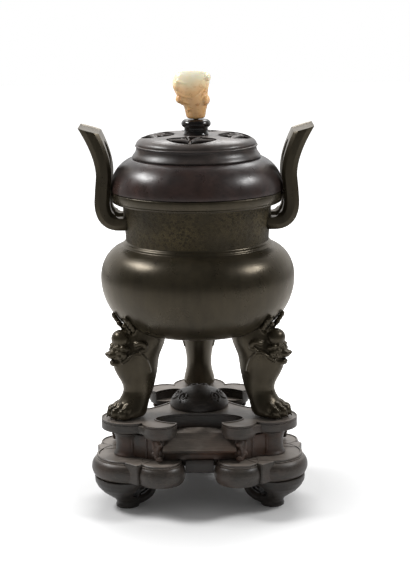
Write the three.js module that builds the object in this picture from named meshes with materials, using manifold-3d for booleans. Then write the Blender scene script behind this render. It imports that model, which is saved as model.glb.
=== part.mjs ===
// Tripod incense burner with a wooden lid, a carved jade knob and a carved wooden stand.
// Units are millimetres, +Z is up, and -Y is the side that faces the viewer.
// Every round piece shares one upright axis, and the stand repeats three times around it.

import * as THREE from 'three';
import { mergeVertices } from 'three/addons/utils/BufferGeometryUtils.js';
import Module from 'manifold-3d';

const wasm = await Module();
wasm.setup();

// Clearances between pieces, and how far a cut runs past the faces that it opens
const CAST_GAP = 0.3;
const PEG_GAP = 0.3;
const LIP_GAP = 0.5;
const RIM_GAP = 0.5;
const CUT_RUN = 5;

// How finely round pieces are faceted
const ROUND_STEPS = 36;
const LOBE_STEPS = 16;
const HOOK_STEPS = 12;
const SMALL_STEPS = 12;
const TRUNK_STEPS = 10;
const TOE_STEPS = 6;
const KIDNEY_STEPS = 8;
const PEG_STEPS = 8;

// Heights of the pieces, stacked upwards from the floor
const FOOT_RISE = 31;
const APRON_RISE = 21.5;
const WAIST_RISE = 21.5;
const PLATE_RISE = 14;
const BOWL_LIFT = 68.7;
const BELLY_LOW_RISE = 60;
const BELLY_TOP_RISE = 31;
const FILLET_RISE = 5.2;
const NECK_RISE = 29;
const RIM_RISE = 19;
const DOME_RISE = 33;
const CROWN_RISE = 14.5;
const SOCLE_RISE = 21.5;
const FIGURE_RISE = 45;

// Where the belly's upper arc stops outside and inside, and where the lid's arc stops, in degrees
const SHOULDER_ANGLE = 76;
const INNER_SHOULDER_ANGLE = 96;
const DOME_TOP_ANGLE = 70.5;

// Levels at which the pieces meet
const APRON_LOW_Z = FOOT_RISE;
const BASE_TOP_Z = APRON_LOW_Z + APRON_RISE;
const WAIST_TOP_Z = BASE_TOP_Z + WAIST_RISE;
const PLATE_TOP_Z = WAIST_TOP_Z + PLATE_RISE;
const BOWL_LOW_Z = PLATE_TOP_Z + BOWL_LIFT;
const BELLY_Z = BOWL_LOW_Z + BELLY_LOW_RISE;
const SHOULDER_Z = BELLY_Z + BELLY_TOP_RISE * Math.sin(THREE.MathUtils.degToRad(SHOULDER_ANGLE));
const NECK_LOW_Z = SHOULDER_Z + FILLET_RISE;
const NECK_TOP_Z = NECK_LOW_Z + NECK_RISE;
const RIM_TOP_Z = NECK_TOP_Z + RIM_RISE;
const CROWN_SEAT_Z = RIM_TOP_Z + DOME_RISE;
const CROWN_TOP_Z = CROWN_SEAT_Z + CROWN_RISE;
const SOCLE_TOP_Z = CROWN_TOP_Z + SOCLE_RISE;
const FIGURE_TOP_Z = SOCLE_TOP_Z + FIGURE_RISE;

// Bronze bowl
const BELLY_RADIUS = 92.7;
const BELLY_LOW_CENTRE = 30;
const BOWL_WALL = 4;
const NECK_RADIUS = 68.1;
const NECK_FLARE = 1.1;
const NECK_WALL = 3.6;
const FILLET_PROUD = 2.3;
const RIM_RADIUS = 82;
const RIM_UNDERCUT = 7;
const RIM_COVE = 4.8;

// Cap-ear handles: an arm under the rim, an upright strap, then a flare that leans outwards
const HANDLE_STRAP = 14.5;
const HANDLE_ARM_DROP = 2;
const HANDLE_ARM_HEIGHT = 18;
const HANDLE_UPRIGHT_RISE = 41;
const HANDLE_FLARE_RISE = 37;
const HANDLE_TIP_REACH = 10.9;
const HANDLE_TIP_WIDTH = 17.6;
const HANDLE_LIP_RISE = 4;
const HANDLE_HALF_DEPTH = 24;
const HANDLE_WINDOW_HALF = 11;
const HANDLE_WINDOW_DROP = 11;
const HANDLE_EDGE = 1.2;

// Stand, seen from above: three round paw lobes with a hooked opening between each two
const LOBE_OUT = 77;
const LOBE_RADIUS = 28;
const LOBE_WAIST_RADIUS = 13;
const LOBE_APRON_RADIUS = 36.5;
const HOOK_OUT = 62;
const HOOK_SIDE = 36;
const HOOK_RADIUS = 15;
const HOOK_APRON_OUT = 69;
const HOOK_APRON_SIDE = 35.5;
const HOOK_APRON_RADIUS = 21.5;
const OPENING_OUT = 47.5;
const OPENING_HALF_WIDTH = 41.2;
const OPENING_HALF_DEPTH = 17;
const MOUTH_HALF_WIDTH = 20;
const LOBE_TO_OPENING = 60;
const CORE_FLANK_ANGLE = 15;
const CORE_HOOK_ANGLE = 30;
const TAB_ANGLE = 22.5;
const TAB_REACH = 86;
const TAB_HALF_WIDTH = 6.5;
const LINK_REACH = 97;
const LINK_HALF_WIDTH = 9;
const SPOKE_START = 40;
const BULGE_SHARE = 0.43;
const BULGE_START = 64;
const BULGE_END = 72;
const LOBE_BULGE = 8;
const HOOK_BULGE = 6;
const BOARD_RADIUS = 62;
const BOARD_THICKNESS = 8;
const PANEL_HALF_WIDTH = 33;
const PANEL_TOP_OUT = 56;
const PANEL_SLOPE = 20;
const PANEL_LEDGE = 3.5;
const PANEL_WALL = 8;
const WALL_SETBACK = 10;
const WAIST_INNER_RADIUS = 48;
const SKIRT_LIFT = 3;
const SKIRT_WALL = 6.7;
const SKIRT_HOLLOW = 3;
const BRACKET_HALF_WIDTH = 5.5;
const BRACKET_DEPTH = 8;
const BRACKET_SIDE_GAP = 1;
const BRACKET_BACK_GAP = 1.2;
const BOSS_RADIUS = 28.5;
const BOSS_RISE = 18.5;
const BOSS_SCROLL_RADIUS = 5.2;
const BOSS_SCROLL_ANGLE = 26;
const SCROLL_TIP_OUT = 53;
const SCROLL_EYE_OUT = 72;
const SCROLL_EYE_RADIUS = 6;
const SCROLL_EYE_SHARE = 0.69;

// Slices through one scroll foot: shift is measured out from the middle of the corner above it,
// and share is the height as a share of the whole foot.
const FOOT_TOP = { share: 1, shift: 7, depth: 24, width: 27, squareness: 2.4 };
const FOOT_SWELL = { share: 0.81, shift: 9, depth: 18.5, width: 21, squareness: 2.4 };
const FOOT_TAPER = { share: 0.52, shift: 6, depth: 12, width: 14, squareness: 2.4 };
const FOOT_ANKLE = { share: 0.26, shift: -1, depth: 8.5, width: 9.5, squareness: 2.6 };
const FOOT_SOLE = { share: 0, shift: -0.5, depth: 10, width: 11, squareness: 3 };

// Slices through one beast-mask leg: shift is measured out from the middle of the paw's lobe.
// Rise is measured from the top of the stand on the low slices.
// On the high ones it is measured from the bowl's lowest point.
const LEG_SOLE = { rise: 0, shift: 0, depth: 15, width: 14 };
const LEG_PAD = { rise: 7, shift: -1, depth: 18, width: 16.5 };
const LEG_INSTEP = { rise: 15, shift: -5.5, depth: 15.5, width: 14 };
const LEG_ANKLE = { rise: 28, shift: -13, depth: 11.6, width: 11.5 };
const LEG_CALF = { rise: -25.7, shift: -11, depth: 15.5, width: 13 };
const LEG_JAW = { rise: -11.7, shift: -7.5, depth: 21, width: 17 };
const LEG_CHEEK = { rise: -0.7, shift: -8, depth: 24, width: 20 };
const LEG_CROWN = { rise: 12.3, shift: -9, depth: 23.5, width: 20 };
const LEG_SHOULDER = { rise: 25.3, shift: -7, depth: 16, width: 17 };
const TRUNK_SQUARENESS = 2.2;
const TOE_SHIFT = 11;
const TOE_RISE = 7.5;
const TOE_LENGTH = 8.8;
const TOE_HALF_WIDTH = 5.4;
const TOE_HALF_HEIGHT = 7.4;
const TOE_SPREAD = 9.5;
const TOE_SETBACK = 2.6;
const CRANIUM_SHIFT = 5;
const CRANIUM_RISE = 8.8;
const CRANIUM_RADIUS = 10.5;
const SNOUT_SHIFT = 14;
const SNOUT_DROP = 5.2;
const SNOUT_LENGTH = 9;
const SNOUT_HALF_WIDTH = 8.5;
const SNOUT_HALF_HEIGHT = 5.6;
const JAW_SETBACK = 7;
const JAW_DROP = 7.5;
const MOUTH_HALF_GAP = 1.5;
const EYE_SPREAD = 6.4;
const EYE_RADIUS = 3.6;
const EAR_SPREAD = 14.5;
const EAR_DROP = 12;
const HORN_SPREAD = 15;
const HORN_RISE = 23;
const HORN_RADIUS = 4;
const MANE_SPREAD = 20;
const MANE_DROP = 25.5;
const MANE_RADIUS = 3;

// Lid
const DOME_REACH = 30;
const LIP_WALL = 4;
const LIP_DEPTH = 8;
const HOLLOW_REACH = 19;
const HOLLOW_DROP = 5;
const CROWN_SEAT_INSET = 2;
const CROWN_SEAT_WIDTH = 10;
const CROWN_COVE = 3.5;
const CROWN_BEAD_RISE = 8.3;
const CROWN_BEAD_PROUD = 1.5;
const CROWN_BEAD_HALF = 2;
const CROWN_SHOULDER_DROP = 1.2;
const CROWN_PLATE = 4.5;
const CLOUD_MARGIN = 8;
const CLOUD_HALF_WIDTH = 22;
const CLOUD_BAR = 3.2;
const CLOUD_COUNT = 4;

// Knob
const SOCLE_BASE_RADIUS = 11.8;
const SOCLE_WAIST_RADIUS = 10.65;
const SOCLE_RIM_RADIUS = 13.65;
const SOCLE_RIM_DROP = 4.4;
const PEG_RADIUS = 2.2;
const PEG_ENTRY = 15;
const FIGURE_LOW_RADIUS = 8.5;
const FIGURE_WIDE_RADIUS = 15.5;
const FIGURE_LEAN = 4.5;
const FIGURE_FLATNESS = 0.72;

const LEG_ANGLES = { front_left: 210, front_right: 330, rear: 90 };
const OPENING_ANGLES = { front: 270, right: 30, left: 150 };

// Points along part of an ellipse, angles in degrees
function ellipsePoints(centreR, centreZ, reach, rise, from, to, steps) {
  const points = [];
  for (let i = 0; i <= steps; i += 1) {
    const angle = THREE.MathUtils.degToRad(from + ((to - from) * i) / steps);
    points.push([centreR + reach * Math.cos(angle), centreZ + rise * Math.sin(angle)]);
  }
  return points;
}

// Welds a surface and turns it to face outwards
function weld(geometry) {
  const bare = geometry.clone();
  bare.deleteAttribute('normal');
  bare.deleteAttribute('uv');
  const joined = mergeVertices(bare, 1e-4);
  const spots = joined.getAttribute('position');
  const corners = joined.getIndex().array;
  const kept = [];
  let volume = 0;
  const a = new THREE.Vector3();
  const b = new THREE.Vector3();
  const c = new THREE.Vector3();
  for (let i = 0; i < corners.length; i += 3) {
    const [p, q, r] = [corners[i], corners[i + 1], corners[i + 2]];
    if (p === q || q === r || r === p) continue;
    kept.push(p, q, r);
    a.fromBufferAttribute(spots, p);
    b.fromBufferAttribute(spots, q);
    c.fromBufferAttribute(spots, r);
    volume += a.dot(b.cross(c));
  }
  if (volume < 0) kept.reverse();
  return { vertices: new Float32Array(spots.array), triangles: new Uint32Array(kept) };
}

function toSolid(geometry) {
  const { vertices, triangles } = weld(geometry);
  const mesh = new wasm.Mesh({ numProp: 3, vertProperties: vertices, triVerts: triangles });
  return new wasm.Manifold(mesh);
}

function toGeometry(solid) {
  const mesh = solid.getMesh();
  const geometry = new THREE.BufferGeometry();
  const spots = new Float32Array(mesh.vertProperties);
  geometry.setAttribute('position', new THREE.BufferAttribute(spots, 3));
  geometry.setIndex(new THREE.BufferAttribute(new Uint32Array(mesh.triVerts), 1));
  geometry.computeVertexNormals();
  return geometry;
}

// Turns a profile of [radius, height] pairs about the upright axis
function lathe(profile, steps) {
  const points = profile.map(([radius, height]) => new THREE.Vector2(radius, height));
  const geometry = new THREE.LatheGeometry(points, steps);
  geometry.rotateX(Math.PI / 2);
  return toSolid(geometry);
}

// Turns a profile that goes round a hollow middle
function closedLathe(profile, steps) {
  return lathe([...profile, profile[0]], steps);
}

// A plain round plug between two heights, as a cutting tool or a board
function plug(radius, low, high, steps = ROUND_STEPS) {
  return lathe([[0, low], [radius, low], [radius, high], [0, high]], steps);
}

// Pushes a flat outline upwards from one height to another
function upright(shape, low, high, curveSteps = 6) {
  const geometry = new THREE.ExtrudeGeometry(shape, {
    depth: high - low,
    bevelEnabled: false,
    curveSegments: curveSteps,
  });
  geometry.translate(0, 0, low);
  return toSolid(geometry);
}

// Pushes an outline drawn in the X-Z plane sideways, with softened edges
function sideways(shape, halfWidth, edge, curveSteps) {
  const geometry = new THREE.ExtrudeGeometry(shape, {
    depth: 2 * (halfWidth - edge),
    bevelEnabled: edge > 0,
    bevelThickness: edge,
    bevelSize: edge,
    bevelOffset: -edge,
    bevelSegments: 1,
    curveSegments: curveSteps,
  });
  geometry.translate(0, 0, -(halfWidth - edge));
  geometry.rotateX(Math.PI / 2);
  return toSolid(geometry);
}

// Pushes an outline drawn in the Y-Z plane outwards, from one distance to another
function outwards(shape, near, far, curveSteps) {
  const geometry = new THREE.ExtrudeGeometry(shape, {
    depth: far - near,
    bevelEnabled: false,
    curveSegments: curveSteps,
  });
  geometry.rotateX(Math.PI / 2);
  geometry.rotateZ(Math.PI / 2);
  geometry.translate(near, 0, 0);
  return toSolid(geometry);
}

function polygon(points) {
  return new THREE.Shape(points.map(([x, y]) => new THREE.Vector2(x, y)));
}

function box(lowX, highX, lowY, highY, lowZ, highZ) {
  const geometry = new THREE.BoxGeometry(highX - lowX, highY - lowY, highZ - lowZ);
  geometry.translate((lowX + highX) / 2, (lowY + highY) / 2, (lowZ + highZ) / 2);
  return toSolid(geometry);
}

// An egg-shaped lump, tilted about the Y axis
function lump(x, y, z, halfX, halfY, halfZ, tilt = 0, steps = 8) {
  const geometry = new THREE.SphereGeometry(1, steps, Math.round(steps / 2));
  geometry.rotateX(Math.PI / 2);
  geometry.scale(halfX, halfY, halfZ);
  geometry.rotateY(THREE.MathUtils.degToRad(tilt));
  geometry.translate(x, y, z);
  return toSolid(geometry);
}

// Skins a stack of rings that have the same number of points, and closes both ends
function loft(rings) {
  const count = rings[0].length;
  const vertices = [];
  const triangles = [];
  rings.forEach((ring) => ring.forEach((p) => vertices.push(p.x, p.y, p.z)));
  for (let i = 0; i < rings.length - 1; i += 1) {
    for (let k = 0; k < count; k += 1) {
      const a = i * count + k;
      const b = i * count + ((k + 1) % count);
      triangles.push(a, b, b + count, a, b + count, a + count);
    }
  }
  [0, rings.length - 1].forEach((i) => {
    const middle = new THREE.Vector3();
    rings[i].forEach((p) => middle.addScaledVector(p, 1 / count));
    const centre = vertices.length / 3;
    vertices.push(middle.x, middle.y, middle.z);
    for (let k = 0; k < count; k += 1) {
      const a = i * count + k;
      const b = i * count + ((k + 1) % count);
      if (i === 0) triangles.push(centre, b, a);
      else triangles.push(centre, a, b);
    }
  });
  const geometry = new THREE.BufferGeometry();
  geometry.setAttribute('position', new THREE.Float32BufferAttribute(vertices, 3));
  geometry.setIndex(triangles);
  return toSolid(geometry);
}

// A tapering curl that follows points
function curl(points, startRadius, endRadius, steps = 4, sides = 5) {
  const line = new THREE.CatmullRomCurve3(points.map((p) => new THREE.Vector3(...p)));
  const frames = line.computeFrenetFrames(steps, false);
  const rings = [];
  for (let i = 0; i <= steps; i += 1) {
    const middle = line.getPointAt(i / steps);
    const radius = startRadius + ((endRadius - startRadius) * i) / steps;
    const ring = [];
    for (let k = 0; k < sides; k += 1) {
      const angle = (2 * Math.PI * k) / sides;
      const spot = middle.clone();
      spot.addScaledVector(frames.normals[i], radius * Math.cos(angle));
      spot.addScaledVector(frames.binormals[i], radius * Math.sin(angle));
      ring.push(spot);
    }
    rings.push(ring);
  }
  return loft(rings);
}

// A level ring shaped like a rounded oblong, round at a squareness of 2
function oval(x, z, halfX, halfY, squareness, sides = SMALL_STEPS) {
  const ring = [];
  for (let k = 0; k < sides; k += 1) {
    const angle = (2 * Math.PI * k) / sides;
    const c = Math.cos(angle);
    const s = Math.sin(angle);
    const reachX = halfX * Math.sign(c) * Math.abs(c) ** (2 / squareness);
    const reachY = halfY * Math.sign(s) * Math.abs(s) ** (2 / squareness);
    ring.push(new THREE.Vector3(x + reachX, reachY, z));
  }
  return ring;
}

function join(...solids) {
  return solids.reduce((sum, next) => sum.add(next));
}

function turned(solid, degrees) {
  return solid.rotate([0, 0, degrees]);
}

// The outside of the bowl up to its shoulder, grown by a clearance
function bowlOutside(gap) {
  const lowReach = BELLY_RADIUS - BELLY_LOW_CENTRE + gap;
  const topReach = BELLY_RADIUS - NECK_RADIUS + gap;
  const topRise = BELLY_TOP_RISE + gap;
  return [
    [0, BOWL_LOW_Z - gap],
    ...ellipsePoints(BELLY_LOW_CENTRE, BELLY_Z, lowReach, BELLY_LOW_RISE + gap, -90, 0, 6),
    ...ellipsePoints(NECK_RADIUS, BELLY_Z, topReach, topRise, 0, SHOULDER_ANGLE, 5).slice(1),
  ];
}

function bowlInside() {
  const topReach = BELLY_RADIUS - NECK_RADIUS - BOWL_WALL;
  const lowReach = BELLY_RADIUS - BELLY_LOW_CENTRE - BOWL_WALL;
  const topRise = BELLY_TOP_RISE - BOWL_WALL;
  const lowRise = BELLY_LOW_RISE - BOWL_WALL;
  return [
    ...ellipsePoints(NECK_RADIUS, BELLY_Z, topReach, topRise, INNER_SHOULDER_ANGLE, 0, 2),
    ...ellipsePoints(BELLY_LOW_CENTRE, BELLY_Z, lowReach, lowRise, 0, -90, 3).slice(1),
    [0, BOWL_LOW_Z + BOWL_WALL],
  ];
}

function vesselBody() {
  const fillet = NECK_RADIUS + FILLET_PROUD;
  const rimEdge = NECK_TOP_Z + RIM_UNDERCUT;
  return lathe([
    ...bowlOutside(0),
    [fillet, SHOULDER_Z + 0.4],
    [fillet, NECK_LOW_Z - 2.4],
    [NECK_RADIUS, NECK_LOW_Z],
    [NECK_RADIUS + NECK_FLARE, NECK_TOP_Z],
    [NECK_RADIUS + NECK_FLARE + RIM_COVE, NECK_TOP_Z + 0.4 * RIM_UNDERCUT],
    [RIM_RADIUS - 2, rimEdge - 0.6],
    [RIM_RADIUS - 0.4, rimEdge + 3],
    [RIM_RADIUS, RIM_TOP_Z],
    [NECK_RADIUS - NECK_WALL, RIM_TOP_Z],
    ...bowlInside(),
  ], ROUND_STEPS);
}

// Side view of a cap-ear handle, drawn along +X
function handleSide() {
  const root = NECK_RADIUS - NECK_WALL;
  const inner = RIM_RADIUS + RIM_GAP;
  const outer = inner + HANDLE_STRAP;
  const armTop = NECK_TOP_Z - HANDLE_ARM_DROP;
  const armLow = armTop - HANDLE_ARM_HEIGHT;
  const flare = armTop + HANDLE_UPRIGHT_RISE;
  const tip = flare + HANDLE_FLARE_RISE;
  const bend = flare + HANDLE_FLARE_RISE / 2;
  const tipInner = inner + HANDLE_TIP_REACH;
  const tipOuter = tipInner + HANDLE_TIP_WIDTH;
  const elbow = 5;
  const shape = new THREE.Shape();
  shape.moveTo(root, armTop);
  shape.lineTo(inner - elbow, armTop);
  shape.quadraticCurveTo(inner, armTop, inner, armTop + elbow);
  shape.lineTo(inner, flare);
  shape.quadraticCurveTo(inner, bend, tipInner, tip - 1);
  shape.lineTo(tipInner + 2, tip + 1.5);
  shape.lineTo(tipOuter - HANDLE_LIP_RISE, tip + 1);
  shape.lineTo(tipOuter, tip + HANDLE_LIP_RISE);
  shape.quadraticCurveTo(outer, bend, outer, flare);
  shape.lineTo(outer, armTop + elbow);
  shape.quadraticCurveTo(outer, armLow + elbow, inner - elbow, armLow + 1);
  shape.lineTo(root, armLow);
  return shape;
}

// Arched window that splits the handle into two straps below its tip
function handleWindow() {
  const low = NECK_TOP_Z - HANDLE_ARM_DROP - HANDLE_ARM_HEIGHT - CUT_RUN;
  const tip = NECK_TOP_Z - HANDLE_ARM_DROP + HANDLE_UPRIGHT_RISE + HANDLE_FLARE_RISE;
  const springing = tip - HANDLE_WINDOW_DROP - HANDLE_WINDOW_HALF;
  const far = RIM_RADIUS + RIM_GAP + HANDLE_STRAP + HANDLE_TIP_REACH + HANDLE_TIP_WIDTH;
  const shape = new THREE.Shape();
  shape.moveTo(-HANDLE_WINDOW_HALF, low);
  shape.lineTo(HANDLE_WINDOW_HALF, low);
  shape.lineTo(HANDLE_WINDOW_HALF, springing);
  shape.absarc(0, springing, HANDLE_WINDOW_HALF, 0, Math.PI, false);
  return outwards(shape, 0, far + CUT_RUN, 6);
}

// One handle, pointing along +X
function handle() {
  const neck = plug(NECK_RADIUS + NECK_FLARE + CAST_GAP, SHOULDER_Z, NECK_TOP_Z + CUT_RUN);
  const strap = sideways(handleSide(), HANDLE_HALF_DEPTH, HANDLE_EDGE, 5);
  return strap.subtract(handleWindow()).subtract(neck);
}

// Smooth trunk of a leg, skinned over its slices
function legTrunk() {
  const low = [LEG_SOLE, LEG_PAD, LEG_INSTEP, LEG_ANKLE];
  const high = [LEG_CALF, LEG_JAW, LEG_CHEEK, LEG_CROWN, LEG_SHOULDER];
  const slice = (s, base) => {
    const x = LOBE_OUT + s.shift;
    return oval(x, base + s.rise, s.depth, s.width, TRUNK_SQUARENESS, TRUNK_STEPS);
  };
  return loft([...low.map((s) => slice(s, PLATE_TOP_Z)), ...high.map((s) => slice(s, BOWL_LOW_Z))]);
}

function toes() {
  return [-1.5, -0.5, 0.5, 1.5].map((step) => {
    const out = LOBE_OUT + TOE_SHIFT - Math.abs(step) * TOE_SETBACK;
    const z = PLATE_TOP_Z + TOE_RISE;
    return lump(out, step * TOE_SPREAD, z, TOE_LENGTH, TOE_HALF_WIDTH, TOE_HALF_HEIGHT, 20, TOE_STEPS);
  });
}

// Head of the beast: cranium, snout and lower jaw
function maskFace() {
  const out = LOBE_OUT + CRANIUM_SHIFT;
  const snoutOut = LOBE_OUT + SNOUT_SHIFT;
  const z = BOWL_LOW_Z + CRANIUM_RISE;
  const snoutZ = BOWL_LOW_Z - SNOUT_DROP;
  const jawOut = snoutOut - JAW_SETBACK;
  const jawZ = snoutZ - JAW_DROP;
  const mouthZ = jawZ + MOUTH_HALF_GAP + 1;
  const mouth = lump(snoutOut + 3, 0, mouthZ, 7, 6.4, MOUTH_HALF_GAP, 22);
  return join(
    lump(out, 0, z, CRANIUM_RADIUS, CRANIUM_RADIUS + 2, CRANIUM_RADIUS, 0, 10),
    lump(snoutOut, 0, snoutZ, SNOUT_LENGTH, SNOUT_HALF_WIDTH, SNOUT_HALF_HEIGHT, 24),
    lump(jawOut, 0, jawZ, 8, 8, 3.6, 18),
  ).subtract(mouth);
}

// One side of the head: eye, ear, horn and the mane that frames the jaw
function maskSide(side) {
  const out = LOBE_OUT + CRANIUM_SHIFT;
  const z = BOWL_LOW_Z + CRANIUM_RISE;
  const horn = [
    [out - 5, side * HORN_SPREAD * 0.53, z + 5],
    [out + 1, side * HORN_SPREAD * 0.87, z + 11],
    [out + 5, side * HORN_SPREAD, z + 18],
    [out + 8, side * HORN_SPREAD * 0.8, z + HORN_RISE - 1.5],
  ];
  const mane = [
    [out - 5, side * MANE_SPREAD * 0.85, z - 2],
    [out - 15, side * MANE_SPREAD, z - 9],
    [out - 14.5, side * MANE_SPREAD * 0.88, z - MANE_DROP + 3],
    [out - 6.5, side * MANE_SPREAD * 0.75, z - MANE_DROP],
  ];
  return [
    lump(out + 7.5, side * EYE_SPREAD, z - 6.5, EYE_RADIUS, EYE_RADIUS, EYE_RADIUS - 0.4, 0, 6),
    lump(out + 3, side * EAR_SPREAD, z - EAR_DROP, 7, 4.5, 6.5, 20, 6),
    curl(horn, HORN_RADIUS, HORN_RADIUS / 2),
    curl(mane, MANE_RADIUS, MANE_RADIUS * 0.7),
  ];
}

// One leg, pointing along +X, cut level where it stands and hollowed where it meets the bowl
function leg() {
  const reach = 2 * LOBE_OUT;
  const aboveStand = box(0, reach, -reach, reach, PLATE_TOP_Z, RIM_TOP_Z);
  const whole = join(legTrunk(), maskFace(), ...maskSide(-1), ...maskSide(1), ...toes());
  const bowl = lathe([...bowlOutside(CAST_GAP), [0, SHOULDER_Z]], ROUND_STEPS);
  return whole.intersect(aboveStand).subtract(bowl);
}

// Radius at which the lid's arc ends, where the crown seats
function domeTopRadius() {
  return RIM_RADIUS - DOME_REACH + DOME_REACH * Math.cos(THREE.MathUtils.degToRad(DOME_TOP_ANGLE));
}

function crownRadius() {
  return domeTopRadius() - CROWN_SEAT_INSET;
}

function crownHoleRadius() {
  return crownRadius() - CROWN_SEAT_WIDTH;
}

function lidDome() {
  const arcRise = DOME_RISE / Math.sin(THREE.MathUtils.degToRad(DOME_TOP_ANGLE));
  const lipOuter = NECK_RADIUS - NECK_WALL - LIP_GAP;
  const lipInner = lipOuter - LIP_WALL;
  const hollowTop = CROWN_SEAT_Z - HOLLOW_DROP - RIM_TOP_Z;
  return closedLathe([
    ...ellipsePoints(RIM_RADIUS - DOME_REACH, RIM_TOP_Z, DOME_REACH, arcRise, 0, DOME_TOP_ANGLE, 5),
    [crownHoleRadius(), CROWN_SEAT_Z],
    ...ellipsePoints(crownHoleRadius(), RIM_TOP_Z, HOLLOW_REACH, hollowTop, 90, 25, 2),
    [lipInner, RIM_TOP_Z + LIP_WALL],
    [lipInner, RIM_TOP_Z - LIP_DEPTH],
    [lipOuter, RIM_TOP_Z - LIP_DEPTH],
    [lipOuter, RIM_TOP_Z],
  ], ROUND_STEPS);
}

// Pierced crescent on one half of a cloud opening that lies along +X
function cloudSlot(side) {
  const middle = (SOCLE_BASE_RADIUS + crownHoleRadius()) / 2;
  const halfDepth = (crownHoleRadius() - SOCLE_BASE_RADIUS) / 2 - CLOUD_MARGIN;
  const outer = [];
  const inner = [];
  const steps = 5;
  for (let i = 0; i <= steps; i += 1) {
    const angle = THREE.MathUtils.degToRad(-78 + (146 * i) / steps);
    const shrink = 0.95 - 0.3 * Math.sin((Math.PI * i) / steps);
    const along = side * CLOUD_HALF_WIDTH * Math.cos(angle);
    const across = halfDepth * Math.sin(angle);
    outer.push([along, across]);
    inner.push([along * shrink, across * shrink]);
  }
  const outline = [...outer, ...inner.reverse()].filter(([x]) => Math.abs(x) > CLOUD_BAR / 2);
  const shape = polygon(outline.map(([x, y]) => [middle + y, x]));
  return upright(shape, CROWN_TOP_Z - CROWN_PLATE - CUT_RUN, CROWN_TOP_Z + CUT_RUN);
}

function lidCrown() {
  const radius = crownRadius();
  const cove = radius - CROWN_COVE;
  const beadZ = CROWN_SEAT_Z + CROWN_BEAD_RISE;
  const plateLow = CROWN_TOP_Z - CROWN_PLATE;
  const pegHole = PEG_RADIUS + PEG_GAP;
  const wallInner = crownHoleRadius() + 1;
  let crown = closedLathe([
    [radius, CROWN_SEAT_Z],
    [radius + 0.2, CROWN_SEAT_Z + CROWN_BEAD_HALF],
    [cove, CROWN_SEAT_Z + 2.2 * CROWN_BEAD_HALF],
    [cove + CROWN_BEAD_PROUD, beadZ],
    [cove - 1, beadZ + CROWN_BEAD_HALF],
    [crownHoleRadius() - 3, CROWN_TOP_Z - CROWN_SHOULDER_DROP],
    [SOCLE_RIM_RADIUS + 3, CROWN_TOP_Z],
    [pegHole, CROWN_TOP_Z],
    [pegHole, plateLow],
    [wallInner, plateLow],
    [wallInner, CROWN_SEAT_Z],
  ], ROUND_STEPS);
  for (let i = 0; i < CLOUD_COUNT; i += 1) {
    const angle = (360 * i) / CLOUD_COUNT;
    crown = crown.subtract(turned(cloudSlot(-1), angle)).subtract(turned(cloudSlot(1), angle));
  }
  return crown;
}

function knobSocle() {
  const pegHole = PEG_RADIUS + PEG_GAP;
  const rimZ = SOCLE_TOP_Z - SOCLE_RIM_DROP;
  return closedLathe([
    [pegHole, CROWN_TOP_Z],
    [SOCLE_BASE_RADIUS, CROWN_TOP_Z],
    [SOCLE_BASE_RADIUS - 0.4, CROWN_TOP_Z + 2.5],
    [SOCLE_WAIST_RADIUS, CROWN_TOP_Z + 8],
    [SOCLE_WAIST_RADIUS + 0.9, rimZ - 5],
    [SOCLE_RIM_RADIUS, rimZ - 1],
    [SOCLE_RIM_RADIUS, rimZ + 1],
    [SOCLE_WAIST_RADIUS + 1, SOCLE_TOP_Z],
    [pegHole, SOCLE_TOP_Z],
  ], HOOK_STEPS);
}

function finialPeg() {
  return plug(PEG_RADIUS, CROWN_TOP_Z - CROWN_PLATE, SOCLE_TOP_Z + PEG_ENTRY, PEG_STEPS);
}

// Carved knob: a leaning bird among leaves, wider above than below
function jadeFinial() {
  const rings = [];
  const steps = 8;
  for (let i = 0; i <= steps; i += 1) {
    const t = i / steps;
    const swell = Math.sin(Math.PI * Math.min(1, t * 1.15 + 0.05));
    const widening = (FIGURE_WIDE_RADIUS - FIGURE_LOW_RADIUS) * (0.55 + 0.45 * t);
    const half = FIGURE_LOW_RADIUS + widening * swell;
    const shrink = t > 0.85 ? 1 - (t - 0.85) * 3.2 : 1;
    const z = SOCLE_TOP_Z + FIGURE_RISE * t;
    rings.push(oval(-FIGURE_LEAN * t * t, z, half * shrink, half * FIGURE_FLATNESS * shrink, 2.3));
  }
  const holeTop = SOCLE_TOP_Z + PEG_ENTRY + PEG_GAP;
  const pegHole = plug(PEG_RADIUS + PEG_GAP, SOCLE_TOP_Z - CUT_RUN, holeTop, PEG_STEPS);
  const wing = lump(8.5, 0, SOCLE_TOP_Z + FIGURE_RISE * 0.47, 6, 9, 8.5, 12);
  const beak = lump(-15, 1, SOCLE_TOP_Z + FIGURE_RISE * 0.51, 9, 6.5, 6.5, -18);
  const notch = lump(-17, 0, SOCLE_TOP_Z + FIGURE_RISE * 0.26, 6, 16, 3.4, -16);
  const crest = lump(-2, 0, FIGURE_TOP_Z - 7, 11, 8, 6, -10);
  return join(loft(rings), wing, beak, crest).subtract(notch).subtract(pegHole);
}

// A round drum at one spot, turned from a profile
function drum(x, y, profile, steps = LOBE_STEPS) {
  return lathe(profile, steps).translate([x, y, 0]);
}

// Where a spot measured from an opening's middle line falls, seen with the lobe along +X
function fromOpening(out, side, mirror) {
  const angle = THREE.MathUtils.degToRad(LOBE_TO_OPENING);
  const x = out * Math.cos(angle) + side * Math.sin(angle);
  const y = out * Math.sin(angle) - side * Math.cos(angle);
  return [x, mirror * y];
}

// A straight link that leaves the middle at an angle
function spoke(reach, halfWidth, angle, low, high) {
  return turned(box(SPOKE_START, reach, -halfWidth, halfWidth, low, high), angle);
}

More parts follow.
